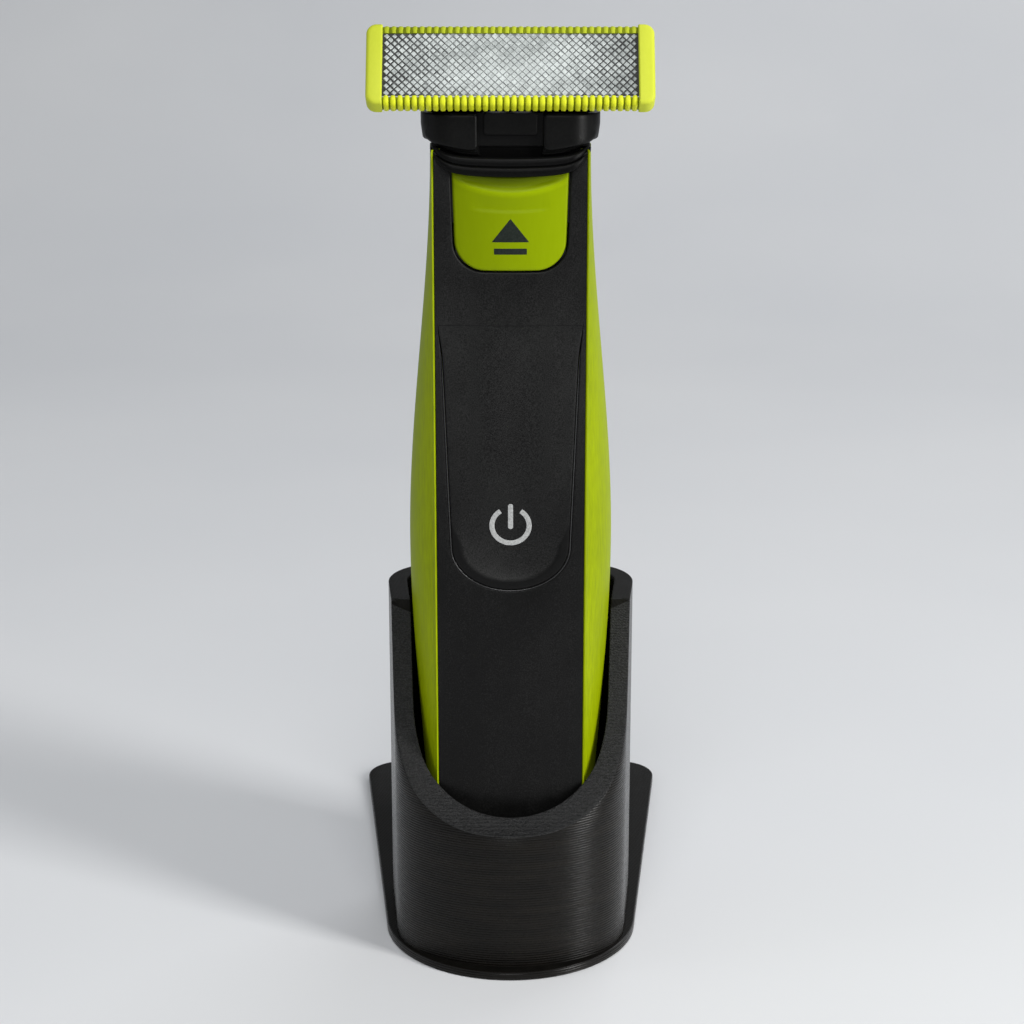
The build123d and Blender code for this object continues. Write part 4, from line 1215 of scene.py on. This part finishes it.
def build_collar():
    """The neck collar: two rounded rings that sag at the front, round a flat deck with a bore."""
    front = collar_low.y
    back = collar_high.y
    # Heights as shares of the collar's, each with how far the surface is drawn in there
    profile = (
        (0.0, 0.50), (0.02, 0.22), (0.06, 0.06), (0.12, 0.0), (0.30, 0.0), (0.42, 0.05), (0.48, 0.17),
        (0.505, 0.42), (0.53, 0.47), (0.55, 0.33), (0.60, 0.24), (0.70, 0.22), (0.84, 0.27), (0.93, 0.38),
        (0.98, 0.56), (1.0, 0.80), (1.0, 0.92), (0.7, 0.95), (0.0, 0.90),
    )
    rings = []
    for level, inset in profile:
        ring = []
        half_width = collar_half_width - inset * 0.6
        loop = neck_loop(half_width, front + inset, back - inset * 0.6, collar_corner, collar_fall)
        for x, y in loop:
            foot = collar_foot(x, y)
            ring.append((x, y, foot + (collar_rim(x, y) - foot) * level))
        rings.append(ring)
    piece = lofted("neck_rings", rings + rings[:1], closed_ends=False, degrees=50.0)
    dress(piece, RING, "handle", ["neck_collar"])

    rim = neck_loop(collar_half_width - deck_inset, deck_front, back - deck_inset, deck_corner, deck_fall)
    bore = arc((0.0, lever_y), bore_radius, 0.0, 2 * math.pi, 48)[:-1]
    half = latch_half_width + latch_gap
    slot_front = latch_front - latch_gap
    slot_back = latch_front + latch_thickness + latch_gap
    slot = [(-half, slot_front), (half, slot_front), (half, slot_back), (-half, slot_back)]
    bm = bmesh.new()
    edges = []
    for loop in (rim, bore, slot):
        ring = [bm.verts.new((x * MM, y * MM, deck_height * MM)) for x, y in loop]
        edges += [bm.edges.new((ring[index - 1], ring[index])) for index in range(len(ring))]
    bmesh.ops.triangle_fill(bm, edges=edges, use_beauty=True, normal=(0, 0, 1))
    mesh = bpy.data.meshes.new("neck_deck")
    bm.to_mesh(mesh)
    bm.free()
    deck = placed("neck_deck", mesh)
    thickness = deck.modifiers.new("thickness", "SOLIDIFY")
    thickness.thickness = deck_thickness * MM
    thickness.offset = -1.0
    dress(deck, NECK, "handle")

    # The recess's front wall: a thin sheet coloured with painted shade.
    apron = strip_outline(apron_half_width, deck_height - apron_depth, deck_height - 0.05, 0.3, 0.3, 3)
    piece = plate("neck_apron", apron, deck_front, 0.08, 0.02, (2.6, 1.2))
    dress(piece, NECK_PAINTED_SHADE, "handle")


def carrier_half_width(z):
    """The blade carrier's half width at a height: full above, tucked in at its skirt."""
    share = held((z - skirt_tuck_low) / skirt_tuck_height)
    return carrier_high.x - skirt_tuck + skirt_tuck * math.sqrt(share)


def tucked(place):
    """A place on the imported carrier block, drawn in behind the skirt."""
    if place.z > carrier_top + 0.02:
        return place
    x = min(block_half_width, max(-block_half_width, place.x))
    y = min(carrier_high.y - 0.8, max(carrier_low.y + 0.9, place.y))
    return Vector((x, y, min(place.z, carrier_top - 0.05)))


def build_carrier():
    """The blade carrier: a skirt that sits on the collar, two rounded cheeks and a latch tab."""
    top = carrier_top - 0.04
    front = carrier_low.y
    back = carrier_high.y
    middle = (front + back) / 2
    # Heights as shares of the skirt's, each with how far the surface is drawn in there
    levels = [(0.0, 0.35), (0.03, 0.12), (0.08, 0.0)] + [(step / 12, 0.0) for step in range(2, 12)]
    levels += [(0.96, 0.03), (0.985, 0.12), (1.0, 0.35), (1.0, 1.4), (0.5, 1.4), (0.0, 1.3)]
    rings = []
    for level, inset in levels:
        ring = []
        for x, y in neck_loop(carrier_high.x, front, back, carrier_corner, carrier_fall):
            foot = collar_rim(x, y) + 0.06
            z = foot + (top - foot) * level
            hollow = skirt_notch_depth if abs(x) < skirt_notch and y < handle_front + 2 else 0.0
            x *= (carrier_half_width(z) - inset) / carrier_high.x
            ring.append((x, middle + (y - middle) * (1 - 2 * inset / (back - front)) + hollow, z))
        rings.append(ring)
    piece = lofted("carrier_skirt", rings + rings[:1], closed_ends=False, degrees=40.0)
    dress(piece, NECK, "blade_mount")
    bevelled("blade_carrier", "carrier_block", 0.25, NECK, tucked)
    bevelled("latch_tab", "latch_tongue", 0.14, NECK)

    inner = cheek_inner
    outer = cheek_outer
    foot = [(x, collar_low.z + 3.45 + 0.011 * x * x) for x in spaced(inner + 0.3, outer - 0.8, 0.6)]
    right = [(inner, foot[0][1] + 0.75), (inner + 0.15, foot[0][1] + 0.25)] + foot
    right += [(outer - 0.45, foot[-1][1] + 0.55), (outer - 0.1, foot[-1][1] + 1.3)]
    right += [(outer, top - 0.8), (outer - 0.25, top - 0.25), (outer - 0.8, top)]
    right += [(inner + 0.5, top), (inner + 0.12, top - 0.15), (inner, top - 0.5)]
    for name, outline in (("cheek_left", flipped(right)), ("cheek_right", right)):
        piece = plate(
            name, outline, front - 0.5, cheek_depth, cheek_edge, (0.6, 1.0),
            bulge=lambda x, z: cheek_fall * max(0.0, (abs(x) - cheek_bend) / cheek_inner) ** 2.6,
        )
        dress(piece, NECK, "blade_mount")


def on_face(s, t, n):
    """A place on the leaning face: along it, up it and out of it, in millimetres."""
    sin = math.sin(face_lean)
    cos = math.cos(face_lean)
    return (s, face_y + t * sin - n * cos, face_z + t * cos + n * sin)


def build_end_caps():
    """The rounded lime caps at both ends of the head."""
    stack = ((-2.8, 0.25), (-2.55, 0.0), (-0.05, 0.0), (0.22, 0.08), (0.41, 0.28), (0.5, 0.58))
    for side, name in ((-1, "end_cap_left"), (1, "end_cap_right")):
        rings = []
        for depth, inset in stack:
            inner = foil_reach + inset * 0.35
            outer = head_half_length - inset
            high = face_half_height - inset
            bend = end_cap_corner - inset * 0.6
            outline = [(inner, -high, 0.15), (outer, -high, bend), (outer, high, bend), (inner, high, 0.15)]
            rings.append([on_face(side * s, t, depth) for s, t in rounded_corners(outline, 8)])
        dress(lofted(name, rings, degrees=45.0), LIME_HEAD, "blade_head")


def comb_path(inset, side, lift=0.0):
    """The comb's front, nose and underside, drawn in by an inset, as places up and out of the face.

    lift brings the front of a drawn-in path forward again.
    """
    across = face_half_height - comb_nose
    front = comb_front - inset
    low = face_half_height - inset
    path = [(across - 0.52, front - 0.04), (across - 0.36, front + lift), (across, front + lift)]
    nose = arc((comb_front - comb_nose, across), comb_nose - inset, 0.0, QUARTER, 7)[1:]
    path += [(t, n) for n, t in nose]
    path += [(low, -1.6), (low, comb_back + 0.25)]
    path += [(low - 0.12, comb_back + 0.05), (low - 0.45, comb_back - 0.05)]
    return [(side * t, n) for t, n in path]


def build_comb():
    """Both toothed combs: rows of rounded ribs on a recessed bar, the bar coloured with painted shade."""
    reach = foil_reach + 0.1
    # Across a rib, as shares of its width, each with the share of its height there
    right = ((0.0, 1.0), (0.28, 0.95), (0.42, 0.80), (0.49, 0.50), (0.5, 0.0))
    section = flipped(right)[:-1] + list(right)
    width = len(section)
    # The upper comb takes the darker copy of the comb's lime, painted shade.
    for side, label, material, stands_for, bar_inset, bar_lift in (
        (-1, "lower", LIME_COMB, (), 0.26, 0.1),
        (1, "upper", LIME_TOP_PAINTED_SHADE, ["guard_frame"], 0.13, 0.05),
    ):
        crest = comb_path(0.0, side)
        root = comb_path(comb_depth, side)
        ends = len(crest) - 1
        points = []
        faces = []
        for rib in range(rib_count):
            middle = (rib - (rib_count - 1) / 2) * rib_pitch
            start = len(points)
            for level, (high, deep) in enumerate(zip(crest, root)):
                size = rib_width * (0.80, 0.94, 1.0)[min(level, ends - level, 2)]
                for share, lift in section:
                    points.append(on_face(middle + share * size, *between(deep, high, lift)))
            last = start + ends * width
            for first in range(start, last, width):
                faces += joined(first, first + width, width)
            faces.append(tuple(range(start, start + width)))
            faces.append(tuple(reversed(range(last, last + width))))
        ribs = new_piece("comb_" + label, points, faces, 60.0)
        dress(ribs, material, "blade_head", stands_for)
        # The bar behind the ribs is coloured with painted shade.
        bar = comb_path(bar_inset, side, bar_lift)
        bar += [(side * comb_inner, comb_back), (side * comb_inner, -0.2)]
        rings = [[on_face(s, t, n) for t, n in bar] for s in (-reach, reach)]
        piece = lofted("comb_bar_" + label, rings, degrees=40.0)
        dress(piece, LIME_PAINTED_SHADE, "blade_head")


def face_oblong(low, high, depth):
    """The corners of an oblong on the leaning face, as wide as the foil."""
    edges = ((-foil_reach, low), (foil_reach, low), (foil_reach, high), (-foil_reach, high))
    return [on_face(s, t, depth) for s, t in edges]


def foil_pad(s, t, start, points, faces):
    """One raised diamond of the foil, a little tilted, added to the points and faces."""
    high_edge = foil_half_height - foil_strip
    tilt_s = random.uniform(-pad_tilt, pad_tilt) + pad_lean * (s / foil_reach) ** 3
    tilt_t = random.uniform(-pad_tilt, pad_tilt)
    lift = random.uniform(-pad_drop, 0.0)
    gap = foil_gap_width * (0.60 + abs(s / foil_reach) ** 1.5) * random.uniform(0.55, 1.45)
    for share, depth in ((0.75, -0.13), (0.95, -0.04), (1.6, 0.0)):
        size = foil_pitch / 2 - gap * share
        for ds, dt in ((size, 0), (0, size), (-size, 0), (0, -size)):
            place_s = max(-foil_reach + pad_margin, min(foil_reach - pad_margin, s + ds))
            place_t = max(-high_edge, min(high_edge, t + dt))
            slope = 0.0 if depth < -0.1 else ds * tilt_s + dt * tilt_t + lift
            points.append(on_face(place_s, place_t, depth + slope))
    faces += joined(start, start + 4, 4) + joined(start + 4, start + 8, 4)
    faces.append(tuple(range(start + 8, start + 12)))
    faces.append(tuple(reversed(range(start, start + 4))))


def build_foil():
    """The foil: a plate coloured with painted shade, with raised diamond pads in a diagonal lattice, and
    plain edge strips.
    """
    rings = [face_oblong(-foil_half_height, foil_half_height, depth) for depth in (-0.8, -0.11)]
    base = lofted("foil_base", rings, degrees=30.0)
    dress(base, FOIL_GAP, "blade_head", ["foil_plate"])
    high_edge = foil_half_height - foil_strip
    columns = int(foil_reach / foil_pitch) + 2
    rows = int(foil_half_height / foil_pitch) + 2
    points = []
    faces = []
    for offset in (0.0, 0.5):
        for column in range(-columns, columns + 1):
            for row in range(-rows, rows + 1):
                s = (column + offset) * foil_pitch
                t = (row + offset) * foil_pitch
                if abs(s) <= foil_reach - 0.1 and abs(t) <= high_edge:
                    foil_pad(s, t, len(points), points, faces)
    dress(new_piece("foil_pads", points, faces, 20.0), FOIL, "blade_head")
    for side, name in ((-1, "foil_edge_lower"), (1, "foil_edge_upper")):
        rings = []
        for depth, inset in ((-0.2, 0.0), (-0.05, 0.0), (0.0, 0.06)):
            edges = (side * (high_edge + 0.02 + inset), side * (foil_half_height - inset))
            rings.append(face_oblong(*edges, depth))
        dress(lofted(name, rings, degrees=30.0), FOIL, "blade_head")


def build_rest():
    """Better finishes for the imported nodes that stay, and rounded copies of the ones that show."""
    bevelled("foot_cap", "foot_cover", 0.2, NECK)
    bevelled("head_base", "head_tray", 0.14, NECK)
    bevelled("cutter_block", "drive_block", 0.2, ACETAL)
    for material, nodes in (
        (INNER, "charge_socket chassis power_switch motor_mount drive_housing"),
        (STEEL, "chassis_screws motor_can motor_screws lever_pivot_pin rotor_shaft tilt_pins cutter_blade"),
        (SPRING, "battery_tabs release_spring leaf_springs"),
        (ACETAL, "crank_cam drive_lever"),
        (BRASS, "charge_pins"),
        (BOARD, "circuit_board"),
        (LAMP, "status_led"),
        (SLEEVE, "battery_cell"),
        (RUBBER, "neck_seal"),
    ):
        for node in nodes.split():
            mesh = frame["nodes"][node].data
            mesh.materials.clear()
            mesh.materials.append(material)


def area_light(name, place, target, width, height, power, tint):
    """A soft rectangular lamp that looks at a target, in metres and watts."""
    data = bpy.data.lights.new(name, "AREA")
    data.shape = "RECTANGLE"
    data.size = width
    data.size_y = height
    data.energy = power
    data.color = tint
    lamp = placed(name, data)
    lamp.location = place
    lamp.rotation_euler = (Vector(target) - Vector(place)).to_track_quat("-Z", "Y").to_euler()


def build_stage():
    """A pale floor that curves up into a backdrop, in metres."""
    half = 3.0
    near = -3.0
    far = 1.1
    radius = 0.7
    profile = [(near, 0.0), *arc((far - radius, radius), radius, -QUARTER, 0.0, 16), (far, 3.0)]
    points = [(x, y, z) for y, z in profile for x in (-half, half)]
    faces = [(2 * k, 2 * k + 1, 2 * k + 3, 2 * k + 2) for k in range(len(profile) - 1)]
    mesh = bpy.data.meshes.new("studio_sweep")
    mesh.from_pydata(points, [], faces)
    mesh.shade_smooth()
    mesh.materials.append(STAGE)
    placed("studio_sweep", mesh)


def build_light():
    """Soft studio light: a dim world, a tall panel on the right, a softbox above and weaker panels."""
    world = bpy.data.worlds.new("studio")
    world.use_nodes = True
    bpy.context.scene.world = world
    background = world.node_tree.nodes["Background"]
    background.inputs["Color"].default_value = (0.90, 0.95, 1.0, 1.0)
    background.inputs["Strength"].default_value = 0.22
    chest = (0.0, -0.02, 0.08)
    white = (1.0, 1.0, 1.0)
    area_light("right_panel", (0.62, -0.42, 0.34), chest, 0.16, 0.62, 5.8, (1.0, 0.995, 0.98))
    area_light("left_panel", (-0.78, -0.12, 0.40), chest, 0.30, 0.6, 0.5, (0.97, 0.97, 1.0))
    area_light("front_softbox", (0.0, -0.62, 0.86), (0.0, -0.04, 0.14), 0.46, 0.34, 3.6, white)
    area_light("front_low_panel", (0.0, -0.76, 0.40), (0.0, -0.035, 0.08), 0.20, 0.12, 0.7, white)
    area_light("rear_panel", (0.35, 0.62, 0.75), chest, 0.6, 0.5, 2.2, (0.97, 0.98, 1.0))


def build_camera():
    """The photograph's viewpoint: a little above the trimmer's head, looking down on it."""
    data = bpy.data.cameras.new("photo_camera")
    data.lens = camera_lens
    data.sensor_width = 36.0
    camera = placed("photo_camera", data)
    camera.location = (camera_side, plate_front * MM - camera_distance, camera_height)
    camera.rotation_euler = (math.radians(90.0 - camera_drop), 0.0, 0.0)
    bpy.context.scene.camera = camera


build_camera()
build_stage()
build_light()
build_stand()
build_casing()
build_front()
build_button()
build_slider()
build_collar()
build_carrier()
build_end_caps()
build_comb()
build_foil()
build_rest()
bpy.context.scene.view_settings.view_transform = "Standard"
